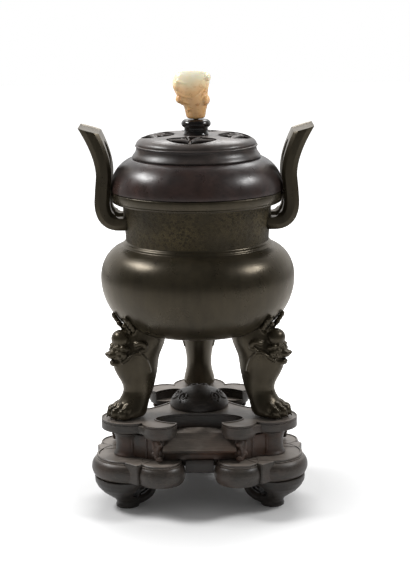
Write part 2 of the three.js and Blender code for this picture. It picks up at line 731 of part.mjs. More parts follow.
// One third of the top board, with its lobe along +X
function plateThird() {
  const edge = 1.8;
  const tabLow = WAIST_TOP_Z + 1.5;
  const tabHigh = PLATE_TOP_Z - 0.8;
  const parts = [drum(LOBE_OUT, 0, [
    [0, WAIST_TOP_Z],
    [LOBE_WAIST_RADIUS + 2.5, WAIST_TOP_Z],
    [LOBE_RADIUS - edge, WAIST_TOP_Z + 0.47 * PLATE_RISE],
    [LOBE_RADIUS, WAIST_TOP_Z + 0.67 * PLATE_RISE],
    [LOBE_RADIUS - 0.5, PLATE_TOP_Z - 1.4],
    [LOBE_RADIUS - edge, PLATE_TOP_Z],
    [0, PLATE_TOP_Z],
  ])];
  [-1, 1].forEach((mirror) => {
    const [x, y] = fromOpening(HOOK_OUT, HOOK_SIDE, mirror);
    parts.push(drum(x, y, [
      [0, WAIST_TOP_Z],
      [HOOK_RADIUS - 2, WAIST_TOP_Z],
      [HOOK_RADIUS, WAIST_TOP_Z + 0.24 * PLATE_RISE],
      [HOOK_RADIUS - 0.4, PLATE_TOP_Z - 2],
      [HOOK_RADIUS - edge, PLATE_TOP_Z],
      [0, PLATE_TOP_Z],
    ], HOOK_STEPS));
    parts.push(spoke(TAB_REACH, TAB_HALF_WIDTH, mirror * TAB_ANGLE, tabLow, tabHigh));
  });
  return join(...parts);
}

// Middle of the top board, out to the flanks of its lobes and hooks
function plateCore() {
  const corners = [];
  const hookReach = HOOK_OUT + 8;
  const lobeReach = LOBE_OUT + 2;
  const spots = [
    [-CORE_HOOK_ANGLE, hookReach],
    [-CORE_FLANK_ANGLE, lobeReach],
    [CORE_FLANK_ANGLE, lobeReach],
    [CORE_HOOK_ANGLE, hookReach],
  ];
  Object.values(LEG_ANGLES).forEach((middle) => {
    spots.forEach(([turn, reach]) => {
      const angle = THREE.MathUtils.degToRad(middle + turn);
      corners.push([reach * Math.cos(angle), reach * Math.sin(angle)]);
    });
  });
  return upright(polygon(corners), WAIST_TOP_Z, PLATE_TOP_Z);
}

// Hooked opening, with its mouth pointing along +X
function hookedOpening() {
  const low = WAIST_TOP_Z - CUT_RUN;
  const high = PLATE_TOP_Z + CUT_RUN;
  const kidney = new THREE.Shape();
  kidney.absellipse(OPENING_OUT, 0, OPENING_HALF_DEPTH, OPENING_HALF_WIDTH, 0, 2 * Math.PI, false, 0);
  const far = HOOK_OUT + 2 * MOUTH_HALF_WIDTH;
  const mouth = polygon([
    [OPENING_OUT, -MOUTH_HALF_WIDTH - 4],
    [HOOK_OUT + 3, -MOUTH_HALF_WIDTH],
    [far, -MOUTH_HALF_WIDTH],
    [far, MOUTH_HALF_WIDTH],
    [HOOK_OUT + 3, MOUTH_HALF_WIDTH],
    [OPENING_OUT, MOUTH_HALF_WIDTH + 4],
  ]);
  return upright(kidney, low, high, KIDNEY_STEPS).add(upright(mouth, low, high));
}

function standTopPlate() {
  let plate = plateCore();
  Object.values(LEG_ANGLES).forEach((angle) => {
    plate = plate.add(turned(plateThird(), angle));
  });
  Object.values(OPENING_ANGLES).forEach((angle) => {
    plate = plate.subtract(turned(hookedOpening(), angle));
  });
  return plate;
}

// Raised middle of the stand, a low dome with six small scrolls around it
function standBoss() {
  const foot = 2;
  let boss = lathe([
    [0, PLATE_TOP_Z],
    [BOSS_RADIUS - 0.6, PLATE_TOP_Z],
    ...ellipsePoints(0, PLATE_TOP_Z + foot, BOSS_RADIUS, BOSS_RISE - foot, 0, 90, 5),
  ], LOBE_STEPS);
  const scrollOut = BOSS_RADIUS - 7.5;
  const scrollZ = PLATE_TOP_Z + 0.6 * BOSS_RISE;
  const half = BOSS_SCROLL_RADIUS;
  Object.values(OPENING_ANGLES).forEach((angle) => {
    [-BOSS_SCROLL_ANGLE, BOSS_SCROLL_ANGLE].forEach((turn) => {
      const scroll = lump(scrollOut, 0, scrollZ, half, half, half, 40, 6);
      boss = boss.add(turned(scroll, angle + turn));
    });
  });
  return boss;
}

// How far out the wall behind the brackets stands
function wallOut() {
  return PANEL_TOP_OUT + PANEL_SLOPE - WALL_SETBACK;
}

// Wall under one paw lobe, with its lobe along +X
function waistBlock() {
  const spool = drum(LOBE_OUT, 0, [
    [0, BASE_TOP_Z],
    [LOBE_WAIST_RADIUS + 2.5, BASE_TOP_Z],
    [LOBE_WAIST_RADIUS + 0.6, BASE_TOP_Z + 0.14 * WAIST_RISE],
    [LOBE_WAIST_RADIUS, BASE_TOP_Z + 0.42 * WAIST_RISE],
    [LOBE_WAIST_RADIUS + 0.6, BASE_TOP_Z + 0.77 * WAIST_RISE],
    [LOBE_WAIST_RADIUS + 2.5, WAIST_TOP_Z],
    [0, WAIST_TOP_Z],
  ]);
  const panelEdge = PANEL_HALF_WIDTH + CAST_GAP;
  const half = [
    [LOBE_OUT + 4, LOBE_WAIST_RADIUS - 1],
    fromOpening(wallOut(), panelEdge + 8, 1),
    fromOpening(wallOut(), panelEdge, 1),
    fromOpening(WAIST_INNER_RADIUS - 6, panelEdge, 1),
  ];
  const other = half.map(([x, y]) => [x, -y]).reverse();
  const wall = upright(polygon([...half, ...other]), BASE_TOP_Z, WAIST_TOP_Z);
  const middle = plug(WAIST_INNER_RADIUS, BASE_TOP_Z - CUT_RUN, WAIST_TOP_Z + CUT_RUN);
  return join(spool, wall).subtract(middle);
}

// Sloping hollow-faced panel under one hooked opening, facing +X
function waistPanel() {
  const lowOut = PANEL_TOP_OUT + PANEL_SLOPE;
  const ledge = BASE_TOP_Z + PANEL_LEDGE;
  const back = PANEL_TOP_OUT - PANEL_WALL;
  const shape = new THREE.Shape();
  shape.moveTo(back, BASE_TOP_Z);
  shape.lineTo(lowOut, BASE_TOP_Z);
  shape.lineTo(lowOut, ledge);
  shape.quadraticCurveTo(PANEL_TOP_OUT + PANEL_SLOPE / 5, ledge + 3, PANEL_TOP_OUT, WAIST_TOP_Z);
  shape.lineTo(back, WAIST_TOP_Z);
  return sideways(shape, PANEL_HALF_WIDTH, 0, 5);
}

// Swelling edge of the base, as a profile for a drum whose widest radius is given
function bulgeProfile(radius, swell, steps) {
  const low = APRON_RISE * BULGE_SHARE;
  const rise = low / Math.sin(THREE.MathUtils.degToRad(BULGE_START));
  const inset = radius - swell * 0.6;
  return [
    [0, APRON_LOW_Z],
    ...ellipsePoints(radius - swell, APRON_LOW_Z + low, swell, rise, -BULGE_START, BULGE_END, steps),
    [inset, BASE_TOP_Z],
    [0, BASE_TOP_Z],
  ];
}

// Bulging lower wall of one corner, with its lobe along +X
function apronCorner() {
  const parts = [drum(LOBE_OUT, 0, bulgeProfile(LOBE_APRON_RADIUS, LOBE_BULGE, 4))];
  const linkLow = APRON_LOW_Z + 2;
  const linkHigh = BASE_TOP_Z - 1;
  [-1, 1].forEach((mirror) => {
    const [x, y] = fromOpening(HOOK_APRON_OUT, HOOK_APRON_SIDE, mirror);
    parts.push(drum(x, y, bulgeProfile(HOOK_APRON_RADIUS, HOOK_BULGE, 3), SMALL_STEPS));
    parts.push(spoke(LINK_REACH, LINK_HALF_WIDTH, mirror * TAB_ANGLE, linkLow, linkHigh));
  });
  const board = plug(BOARD_RADIUS + CAST_GAP, APRON_LOW_Z - CUT_RUN, BASE_TOP_Z + CUT_RUN);
  return join(...parts).subtract(board);
}

function standBaseBoard() {
  return plug(BOARD_RADIUS, BASE_TOP_Z - BOARD_THICKNESS, BASE_TOP_Z);
}

// Recessed lower wall between two corners, facing +X
function skirtPanel() {
  const back = BOARD_RADIUS + CAST_GAP;
  const front = back + SKIRT_WALL;
  const low = APRON_LOW_Z + SKIRT_LIFT;
  const shape = new THREE.Shape();
  shape.moveTo(back, low);
  shape.lineTo(front - SKIRT_HOLLOW, low);
  shape.quadraticCurveTo(front - SKIRT_HOLLOW, (low + BASE_TOP_Z) / 2, front, BASE_TOP_Z);
  shape.lineTo(back, BASE_TOP_Z);
  let wall = sideways(shape, HOOK_APRON_SIDE - 8, 0, 4);
  [-1, 1].forEach((side) => {
    const reach = HOOK_APRON_RADIUS + CAST_GAP;
    const hook = plug(reach, APRON_LOW_Z - CUT_RUN, BASE_TOP_Z + CUT_RUN, LOBE_STEPS);
    wall = wall.subtract(hook.translate([HOOK_APRON_OUT, side * HOOK_APRON_SIDE, 0]));
  });
  return wall;
}

// Curled tail of a foot, which runs inwards from the sole and turns up
function footTail() {
  const low = 2;
  const sole = LOBE_OUT + 2;
  const shape = new THREE.Shape();
  shape.moveTo(sole, low);
  shape.lineTo(sole - 10, low);
  shape.quadraticCurveTo(SCROLL_TIP_OUT - 2, 0.2 * FOOT_RISE, SCROLL_TIP_OUT, 0.55 * FOOT_RISE);
  shape.quadraticCurveTo(SCROLL_TIP_OUT + 3, 0.84 * FOOT_RISE, SCROLL_TIP_OUT + 11, 0.77 * FOOT_RISE);
  shape.lineTo(SCROLL_TIP_OUT + 9, 0.55 * FOOT_RISE);
  shape.quadraticCurveTo(LOBE_OUT - 10, 0.32 * FOOT_RISE, sole, 0.45 * FOOT_RISE);
  return sideways(shape, FOOT_SOLE.width - 2, 1, 5);
}

// Scroll foot, pointing along +X: it narrows to a small sole and is pierced by the scroll's eye
function scrollFoot() {
  const slices = [FOOT_TOP, FOOT_SWELL, FOOT_TAPER, FOOT_ANKLE, FOOT_SOLE];
  const rings = slices.map(({ share, shift, depth, width, squareness }) => {
    return oval(LOBE_OUT + shift, share * FOOT_RISE, depth, width, squareness);
  });
  const through = 3 * LOBE_APRON_RADIUS;
  const eye = new THREE.CylinderGeometry(SCROLL_EYE_RADIUS, SCROLL_EYE_RADIUS, through, SMALL_STEPS);
  eye.translate(SCROLL_EYE_OUT, 0, SCROLL_EYE_SHARE * FOOT_RISE);
  return join(loft(rings), footTail()).subtract(toSolid(eye));
}

// Small carved bracket under the outer end of one hook, facing +X
function hookBracket(side) {
  const half = BRACKET_HALF_WIDTH;
  const middle = (BASE_TOP_Z + WAIST_TOP_Z) / 2;
  const shape = new THREE.Shape();
  shape.moveTo(-half, BASE_TOP_Z);
  shape.lineTo(half, BASE_TOP_Z);
  shape.quadraticCurveTo(half + 1, BASE_TOP_Z + 5, half - 4, middle);
  shape.quadraticCurveTo(half + 2, WAIST_TOP_Z - 6, half, WAIST_TOP_Z);
  shape.lineTo(-half, WAIST_TOP_Z);
  shape.quadraticCurveTo(-half + 3, WAIST_TOP_Z - 6, -half + 3.5, middle);
  shape.quadraticCurveTo(-half - 1, BASE_TOP_Z + 5, -half, BASE_TOP_Z);
  const back = wallOut() + BRACKET_BACK_GAP;
  const offset = PANEL_HALF_WIDTH + BRACKET_SIDE_GAP + half;
  return outwards(shape, back, back + BRACKET_DEPTH, 4).translate([0, side * offset, 0]);
}

function paint(color, roughness, metalness) {
  return () => new THREE.MeshStandardMaterial({ color, roughness, metalness });
}

const bronze = paint(0x5b5345, 0.42, 0.85);
const lidWood = paint(0x4f3f3a, 0.35, 0);
const socleWood = paint(0x2c2220, 0.3, 0);
const standWood = paint(0x4a3d38, 0.4, 0);
const jade = paint(0xe6d3ae, 0.3, 0);

const assembly = new THREE.Group();

function addPiece(name, solid, material) {
  const mesh = new THREE.Mesh(toGeometry(solid), material());
  mesh.name = name;
  assembly.add(mesh);
}

function buildCenser() {
  const plain = handle();
  const mould = leg();
  addPiece('vessel_body', vesselBody(), bronze);
  addPiece('handle_left', turned(plain, 180), bronze);
  addPiece('handle_right', plain, bronze);
  Object.entries(LEG_ANGLES).forEach(([place, angle]) => {
    addPiece(`leg_${place}`, turned(mould, angle), bronze);
  });
}

function buildLid() {
  addPiece('lid_dome', lidDome(), lidWood);
  addPiece('lid_crown', lidCrown(), lidWood);
  addPiece('knob_socle', knobSocle(), socleWood);
  addPiece('finial_peg', finialPeg(), socleWood);
  addPiece('jade_finial', jadeFinial(), jade);
}

function buildStand() {
  addPiece('stand_top_plate', standTopPlate(), standWood);
  addPiece('stand_boss', standBoss(), standWood);
  addPiece('stand_base_board', standBaseBoard(), standWood);
  Object.entries(LEG_ANGLES).forEach(([place, angle]) => {
    addPiece(`waist_block_${place}`, turned(waistBlock(), angle), standWood);
    addPiece(`apron_${place}`, turned(apronCorner(), angle), standWood);
    addPiece(`scroll_foot_${place}`, turned(scrollFoot(), angle), standWood);
  });
  Object.entries(OPENING_ANGLES).forEach(([place, angle]) => {
    addPiece(`waist_panel_${place}`, turned(waistPanel(), angle), standWood);
    addPiece(`skirt_panel_${place}`, turned(skirtPanel(), angle), standWood);
    addPiece(`bracket_${place}_a`, turned(hookBracket(-1), angle), standWood);
    addPiece(`bracket_${place}_b`, turned(hookBracket(1), angle), standWood);
  });
}

buildStand();
buildCenser();
buildLid();

// The origin is on the floor, under the middle of the bounding box
const bounds = new THREE.Box3().setFromObject(assembly);
const middle = bounds.getCenter(new THREE.Vector3());
assembly.children.forEach((mesh) => mesh.geometry.translate(-middle.x, -middle.y, -bounds.min.z));

export default assembly;
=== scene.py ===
# %% [markdown]
# # A tripod incense burner on its carved stand
# A bronze bowl stands on three legs cast as beast masks with paws. Two tall loop handles rise from its
# neck. A turned wooden lid carries an openwork crown, a black socle and a small carved jade. Under it is a
# three-lobed wooden stand with hooked openings, a low waist and scroll feet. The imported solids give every
# place and size. Each visible piece is modelled again here with finer shapes, and each finish is built from
# procedural nodes, so that nothing has to be read from a picture.

# %% Load the frame
import math

import bpy
from mathutils import Matrix, Vector


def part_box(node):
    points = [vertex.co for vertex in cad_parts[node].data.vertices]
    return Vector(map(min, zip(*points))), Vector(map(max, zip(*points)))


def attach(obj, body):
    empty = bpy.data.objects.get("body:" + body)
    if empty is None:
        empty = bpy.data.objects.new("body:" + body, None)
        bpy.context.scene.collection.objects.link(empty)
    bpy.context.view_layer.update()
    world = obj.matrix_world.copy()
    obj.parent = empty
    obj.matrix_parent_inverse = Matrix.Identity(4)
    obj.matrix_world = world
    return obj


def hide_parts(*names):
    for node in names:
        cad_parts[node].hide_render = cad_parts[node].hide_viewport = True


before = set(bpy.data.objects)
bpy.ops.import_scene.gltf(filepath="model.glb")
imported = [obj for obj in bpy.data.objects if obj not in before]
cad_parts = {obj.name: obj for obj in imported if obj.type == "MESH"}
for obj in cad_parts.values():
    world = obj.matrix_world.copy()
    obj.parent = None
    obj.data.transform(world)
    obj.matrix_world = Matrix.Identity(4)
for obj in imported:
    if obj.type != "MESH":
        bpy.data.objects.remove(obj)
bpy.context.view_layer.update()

MM = 0.001
socle_low, socle_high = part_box("knob_socle")
AXIS_X = (socle_low.x + socle_high.x) / 2
AXIS_Y = (socle_low.y + socle_high.y) / 2
LOBES = {"front_left": 210, "front_right": 330, "rear": 90}
OPENINGS = {"front": 270, "right": 30, "left": 150}
print("the upright axis stands at", round(AXIS_X, 4), round(AXIS_Y, 4))

# %% [markdown]
# ## Camera
# The photo was taken with a long lens, a little above the rim and looking down. The distance and the tilt
# follow from how flat the rings of lid, rim and belly look. A small roll repeats the slight lean of the
# picture.

# %% Camera
# Metres and degrees
CAMERA_SIDE = 0.0068
CAMERA_REACH = 1.6
CAMERA_HEIGHT = 0.54
CAMERA_TILT = 11.76
CAMERA_ROLL = -0.62
LENS = 107.5
SENSOR = 36

bpy.ops.object.select_all(action="DESELECT")
bpy.ops.object.camera_add(location=(CAMERA_SIDE, AXIS_Y - CAMERA_REACH, CAMERA_HEIGHT))
camera = bpy.context.object
tilt = Matrix.Rotation(math.radians(90 - CAMERA_TILT), 3, "X")
camera.rotation_euler = (tilt @ Matrix.Rotation(math.radians(CAMERA_ROLL), 3, "Z")).to_euler()
camera.data.sensor_width = SENSOR
camera.data.lens = LENS
camera.data.clip_end = 50
bpy.context.scene.camera = camera
bpy.context.scene.view_settings.view_transform = "Standard"
print("camera at", [round(v, 3) for v in camera.location])

# %% [markdown]
# ## Bench tools
# The same few moves come back in every piece, so each gets a short name. A primitive is added, shaped in
# edit mode, and finished with modifiers that are applied. Lengths are written in millimetres and turned to
# metres here. Pieces are modelled round the world's upright axis and set over the burner's axis at the end.

# %% Holding, applying and settling a piece
def put_down():
    """Leaves edit mode and holds nothing."""
    if bpy.context.object and bpy.context.object.mode == "EDIT":
        bpy.ops.object.mode_set(mode="OBJECT")
    bpy.ops.object.select_all(action="DESELECT")


def hold(*pieces):
    put_down()
    for piece in pieces:
        piece.select_set(True)
    bpy.context.view_layer.objects.active = pieces[0]
    return pieces[0]


def named(name):
    bpy.context.object.name = name
    return bpy.context.object


def modified(piece, kind, **settings):
    """Adds one modifier to a piece and applies it."""
    hold(piece)
    modifier = piece.modifiers.new(kind.title(), kind)
    for key, value in settings.items():
        setattr(modifier, key, value)
    bpy.ops.object.modifier_apply(modifier=modifier.name)
    return piece


def write_place():
    """Writes the held piece's place, turn and scale into its mesh."""
    bpy.ops.object.transform_apply(location=True, rotation=True, scale=True)


def settled(piece, x=0.0, y=0.0, z=0.0, turn=0.0):
    """Moves a piece by millimetres, turns it about the upright axis, and writes its place into its mesh."""
    hold(piece)
    piece.matrix_world = (
        Matrix.Rotation(math.radians(turn), 4, "Z")
        @ Matrix.Translation(Vector((x, y, z)) * MM)
        @ piece.matrix_world
    )
    write_place()
    return piece


def copied(piece, name):
    hold(piece)
    bpy.ops.object.duplicate()
    return named(name)


def removed(piece):
    bpy.data.objects.remove(piece)


def top_of(name):
    """How high a solid of the frame reaches, in millimetres."""
    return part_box(name)[1].z / MM


def joined(name, *pieces):
    hold(*pieces)
    if len(pieces) > 1:
        bpy.ops.object.join()
    return named(name)


# %% Turned and lofted shapes
def edit_all():
    """Enters edit mode with everything selected."""
    bpy.ops.object.mode_set(mode="EDIT")
    bpy.ops.mesh.select_all(action="SELECT")


def outwards(piece):
    """Turns every face outwards and leaves edit mode."""
    bpy.ops.mesh.select_all(action="SELECT")
    bpy.ops.mesh.normals_make_consistent(inside=False)
    put_down()
    return piece


def turned(name, outline, steps=128):
    """Spins a half outline of (radius, height) points, in millimetres, round the upright axis."""
    put_down()
    bpy.ops.mesh.primitive_plane_add(size=MM)
    piece = named(name)
    bpy.ops.object.mode_set(mode="EDIT")
    bpy.ops.mesh.merge(type="CENTER")
    bpy.ops.transform.translate(value=(outline[0][0] * MM, 0, outline[0][1] * MM))
    for (r0, z0), (r1, z1) in zip(outline, outline[1:]):
        step = ((r1 - r0) * MM, 0, (z1 - z0) * MM)
        bpy.ops.mesh.extrude_vertices_move(TRANSFORM_OT_translate={"value": step})
    bpy.ops.mesh.select_all(action="SELECT")
    bpy.ops.mesh.spin(steps=steps, angle=2 * math.pi, center=(0, 0, 0), axis=(0, 0, 1))
    bpy.ops.mesh.select_all(action="SELECT")
    bpy.ops.mesh.remove_doubles(threshold=0.004 * MM)
    return outwards(piece)


def lofted(name, slices, sides=32):
    """Pulls a ring up through slices of (x, y, z, half x, half y), in millimetres, and closes both ends."""
    put_down()
    x, y, z, half_x, half_y = slices[0]
    place = Vector((x, y, z)) * MM
    bpy.ops.mesh.primitive_circle_add(vertices=sides, radius=MM, fill_type="NGON", location=place)
    piece = named(name)
    piece.scale = (half_x, half_y, 1)
    write_place()
    edit_all()
    for before, after in zip(slices, slices[1:]):
        step = (Vector(after[:3]) - Vector(before[:3])) * MM
        bpy.ops.mesh.extrude_region_move(TRANSFORM_OT_translate={"value": step})
        grow = (after[3] / before[3], after[4] / before[4], 1)
        bpy.ops.transform.resize(value=grow, center_override=Vector(after[:3]) * MM)
    return outwards(piece)


# %% Cut-outs, lumps and cords
def cut_out(name, outline, low, high):
    """A flat sheet with that outline of (x, y) points, pulled up from one height to another."""
    put_down()
    bpy.ops.mesh.primitive_circle_add(vertices=len(outline), radius=MM, fill_type="NGON")
    piece = named(name)
    for vertex, (x, y) in zip(piece.data.vertices, outline):
        vertex.co = Vector((x, y, low)) * MM
    edit_all()
    bpy.ops.mesh.extrude_region_move(TRANSFORM_OT_translate={"value": (0, 0, (high - low) * MM)})
    return outwards(piece)


def slab(near, far, low, high):
    """A wide flat cutter that reaches from one distance to another along X."""
    return cut_out("slab", [(near, -60), (far, -60), (far, 60), (near, 60)], low, high)


def lump(x, y, z, half_x, half_y, half_z, tilt=0.0, turn=0.0, sides=24):
    """A rounded lump, tilted about the Y axis and turned about the upright."""
    put_down()
    bpy.ops.mesh.primitive_uv_sphere_add(segments=sides, ring_count=sides // 2, radius=MM)
    piece = named("lump")
    piece.scale = (half_x, half_y, half_z)
    piece.rotation_euler = (0, math.radians(tilt), math.radians(turn))
    piece.location = Vector((x, y, z)) * MM
    write_place()
    return piece


def cord_along(points, thickness, closed=False, taper=1.0):
    """A round rib that runs smoothly through the points, in millimetres, thinning towards its end."""
    put_down()
    bpy.ops.curve.primitive_nurbs_path_add()
    piece = named("rib")
    piece.data.splines.clear()
    spline = piece.data.splines.new("NURBS")
    spline.points.add(len(points) - 1)
    for i, point in enumerate(points):
        spline.points[i].co = (*(Vector(point) * MM), 1)
        spline.points[i].radius = 1 + (taper - 1) * i / (len(points) - 1)
    spline.use_cyclic_u = closed
    spline.use_endpoint_u = True
    spline.order_u = 4 if len(points) > 3 else 3
    spline.resolution_u = 6
    piece.data.dimensions = "3D"
    piece.data.bevel_depth = thickness * MM / 2
    piece.data.bevel_resolution = 3
    piece.data.use_fill_caps = True
    bpy.ops.object.convert(target="MESH")
    return bpy.context.object


# %% Joining, cutting and softening
def cut(piece, cutter, operation="DIFFERENCE"):
    """Cuts, adds or keeps with a second shape, which is used up."""
    modified(piece, "BOOLEAN", object=cutter, operation=operation, solver="MANIFOLD")
    removed(cutter)
    return piece


def softened(piece, width, segments, angle):
    """Rounds the edges that bend by more than an angle."""
    limits = {"limit_method": "ANGLE", "angle_limit": math.radians(angle)}
    return modified(piece, "BEVEL", width=width * MM, segments=segments, **limits)


def fused(name, grain, passes, *pieces):
    """Melts overlapping lumps into one skin of fine squares, as clay is pressed together."""
    piece = joined(name, *pieces)
    modified(piece, "REMESH", mode="VOXEL", voxel_size=grain * MM)
    modified(piece, "SMOOTH", factor=0.5, iterations=passes)
    return piece


def smooth(piece, angle=35):
    hold(piece)
    bpy.ops.object.shade_smooth_by_angle(angle=math.radians(angle))
    return piece


def arc(centre_r, centre_z, reach, rise, start, end, steps):
    """Points on a quarter of an ellipse, from one angle to another."""
    angles = [math.radians(start + (end - start) * i / steps) for i in range(steps + 1)]
    return [(centre_r + reach * math.cos(a), centre_z + rise * math.sin(a)) for a in angles]


def raised(level, *spots):
    """Outline points of (radius, height), with the heights counted from a level."""
    return [(out, level + up) for out, up in spots]


def finished(piece, body, slot, finish, *nodes, turn=0.0):
    """Sets a piece over the burner's axis, dresses it, and ties it to the frame."""
    settled(piece, turn=turn)
    settled(piece, x=AXIS_X / MM, y=AXIS_Y / MM)
    piece.data.materials.clear()
    piece.data.materials.append(finish)
    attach(piece, body)
    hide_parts(*nodes)
    print(piece.name, "has", len(piece.data.polygons), "faces")
    return piece


def repeated(piece, places, name, body, slot, finish, solid):
    """Sets a copy of a piece at every place round the axis, then takes the piece itself away."""
    for place, turn in places.items():
        copy = copied(piece, name + "_" + place)
        finished(copy, body, slot, finish, solid + "_" + place, turn=turn)
    removed(piece)


# %% [markdown]
# ## Finishes
# Each finish is a principled shader whose colour, roughness and bump come from several noises of different
# sizes: broad clouds for handling and age, streaks for the way a surface was wiped or grew, and a fine
# grain for the skin. Dust and a painted sheen of the light from above lie on what faces upwards, so the
# wood's tops are paler than its sides.

# %% Node helpers
def new_finish(name, roughness, specular=0.5, metallic=0.0):
    finish = bpy.data.materials.new(name)
    finish.use_nodes = True
    shader = finish.node_tree.nodes["Principled BSDF"]
    shader.inputs["Roughness"].default_value = roughness
    shader.inputs["Specular IOR Level"].default_value = specular
    shader.inputs["Metallic"].default_value = metallic
    return finish, finish.node_tree, shader


def node(tree, kind, inputs=None, **settings):
    """Adds a node, sets it up, and sets or links its inputs."""
    made = tree.nodes.new("ShaderNode" + kind)
    for key, value in settings.items():
        setattr(made, key, value)
    for key, value in (inputs or {}).items():
        if isinstance(value, bpy.types.NodeSocket):
            tree.links.new(value, made.inputs[key])
        else:
            made.inputs[key].default_value = value
    return made


def noise(tree, scale, detail=4.0, roughness=0.55, stretch=(1, 1, 1), distortion=0.0):
    """A noise on the piece's own coordinates, with features about 1/scale metres wide."""
    place = node(tree, "TexCoord").outputs["Object"]
    place = node(tree, "Mapping", {"Vector": place, "Scale": stretch}).outputs["Vector"]
    inputs = {"Vector": place, "Scale": scale, "Detail": detail}
    inputs.update({"Roughness": roughness, "Distortion": distortion})
    return node(tree, "TexNoise", inputs).outputs["Fac"]


def ramp(tree, value, *stops):
    """Colours along a value, as (place, (r, g, b))."""
    made = node(tree, "ValToRGB", {"Fac": value})
    ends = made.color_ramp.elements
    while len(ends) < len(stops):
        ends.new(0.5)
    for end, (place, colour) in zip(ends, stops):
        end.position = place
        end.color = (*colour, 1)
    return made.outputs["Color"]


def grey(tree, value, low, high, dark=0.0, light=1.0):
    """Stretches a value between two limits to run from dark to light."""
    inputs = {"Value": value, "From Min": low, "From Max": high, "To Min": dark, "To Max": light}
    return node(tree, "MapRange", inputs).outputs["Result"]


def mixed(tree, share, below, above, blend="MIX"):
    made = node(tree, "Mix", data_type="RGBA", blend_type=blend)
    for socket, value in ((made.inputs[0], share), (made.inputs[6], below), (made.inputs[7], above)):
        if isinstance(value, bpy.types.NodeSocket):
            tree.links.new(value, socket)
        else:
            socket.default_value = (*value, 1) if isinstance(value, tuple) else value
    return made.outputs[2]


def math_node(tree, operation, a, b):
    return node(tree, "Math", {0: a, 1: b}, operation=operation).outputs[0]


def bumped(tree, shader, *layers):
    """Stacks bumps of (height, strength, depth in millimetres) on a shader."""
    under = None
    for height, strength, depth in layers:
        inputs = {"Height": height, "Strength": strength, "Distance": depth * MM}
        if under:
            inputs["Normal"] = under
        under = node(tree, "Bump", inputs).outputs["Normal"]
    tree.links.new(under, shader.inputs["Normal"])


def coloured(tree, shader, colour, roughness=None):
    tree.links.new(colour, shader.inputs["Base Color"])
    if roughness is not None:
        tree.links.new(roughness, shader.inputs["Roughness"])


def facing_up(tree, start, full):
    """How much a surface faces upwards, from none at one slope to all at another."""
    normal = node(tree, "TexCoord").outputs["Normal"]
    up = node(tree, "SeparateXYZ", {"Vector": normal}).outputs["Z"]
    return grey(tree, up, start, full)


# %% [markdown]
# ### Bronze
# Old bronze is dark olive brown, with cloudy lighter places, faint streaks that run down, and a satin
# shine. The neck carries a band of fine cast relief, too small to model, so its wavy ground is a bump of
# its own.

# %% Bronze
WARM_SHEEN = (1.0, 0.86, 0.66, 1)


def bronze_colour(tree):
    clouds = ramp(
        tree, noise(tree, 16, 5, 0.6, distortion=0.8),
        (0.32, (0.013, 0.011, 0.007)), (0.52, (0.022, 0.0185, 0.0115)), (0.72, (0.038, 0.031, 0.019)),
    )
    streaks = grey(tree, noise(tree, 1, 5, 0.6, stretch=(150, 150, 9)), 0.35, 0.72)
    return mixed(tree, grey(tree, streaks, 0, 1, 0, 0.35), clouds, (0.052, 0.041, 0.026))


def make_bronze():
    finish, tree, shader = new_finish("bronze_patina", 0.4, 0.6, 0.25)
    shader.inputs["Specular Tint"].default_value = WARM_SHEEN
    pits = noise(tree, 420, 6, 0.65)
    specks = grey(tree, noise(tree, 700, 2, 0.5), 0.66, 0.76)
    colour = mixed(tree, specks, bronze_colour(tree), (0.012, 0.010, 0.007))
    roughness = grey(tree, noise(tree, 38, 6, 0.6), 0.3, 0.7, 0.24, 0.38)
    coloured(tree, shader, colour, roughness)
    bumped(tree, shader, (pits, 0.12, 0.5), (noise(tree, 60, 3), 0.1, 1.2))
    return finish


def make_bronze_band():
    finish, tree, shader = new_finish("bronze_band", 0.5, 0.35, 0.15)
    shader.inputs["Specular Tint"].default_value = WARM_SHEEN
    place = node(tree, "TexCoord").outputs["Object"]
    cells = node(tree, "TexVoronoi", {"Vector": place, "Scale": 300}, feature="F1").outputs["Distance"]
    grains = node(tree, "TexVoronoi", {"Vector": place, "Scale": 620}, feature="DISTANCE_TO_EDGE")
    edges = grey(tree, grains.outputs["Distance"], 0, 0.25)
    relief = math_node(tree, "ADD", grey(tree, cells, 0.1, 0.6), edges)
    worn = mixed(tree, grey(tree, relief, 0.7, 1.7), bronze_colour(tree), (0.080, 0.062, 0.030))
    colour = mixed(tree, grey(tree, noise(tree, 26, 4), 0.35, 0.65), worn, bronze_colour(tree))
    coloured(tree, shader, colour, grey(tree, relief, 0.4, 1.8, 0.66, 0.5))
    bumped(tree, shader, (relief, 0.5, 0.5))
    return finish


bronze = make_bronze()
bronze_band = make_bronze_band()
print("made", bronze.name, "and", bronze_band.name)

# %% [markdown]
# ### Woods and jade
# The lid is polished reddish brown hardwood with a purple cast and dark flecks. The socle is almost black
# and shines. The stand is darker wood that has lost its polish: dust and a painted sheen pale its tops,
# its grain runs along the boards, and a darker copy paints shade on the low walls and the feet. The jade
# is cream above and honey coloured below, with rusty skin in its hollows, and lets some light through.

# %% Lid and socle wood
def make_lid_wood():
    finish, tree, shader = new_finish("lid_wood", 0.3, 0.5)
    clouds = ramp(
        tree, noise(tree, 26, 8, 0.62, distortion=1.0),
        (0.30, (0.011, 0.007, 0.006)), (0.50, (0.025, 0.016, 0.014)), (0.70, (0.054, 0.034, 0.030)),
    )
    flecks = grey(tree, noise(tree, 240, 5, 0.7, stretch=(1, 1, 2.2)), 0.52, 0.66)
    colour = mixed(tree, grey(tree, flecks, 0, 1, 0, 0.7), clouds, (0.012, 0.008, 0.008))
    rust = grey(tree, noise(tree, 12, 3), 0.5, 0.7, 0, 0.5)
    colour = mixed(tree, rust, colour, (0.075, 0.034, 0.024))
    coloured(tree, shader, colour, grey(tree, noise(tree, 60, 5), 0.3, 0.7, 0.24, 0.4))
    bumped(tree, shader, (noise(tree, 300, 6, 0.7), 0.1, 0.4))
    return finish


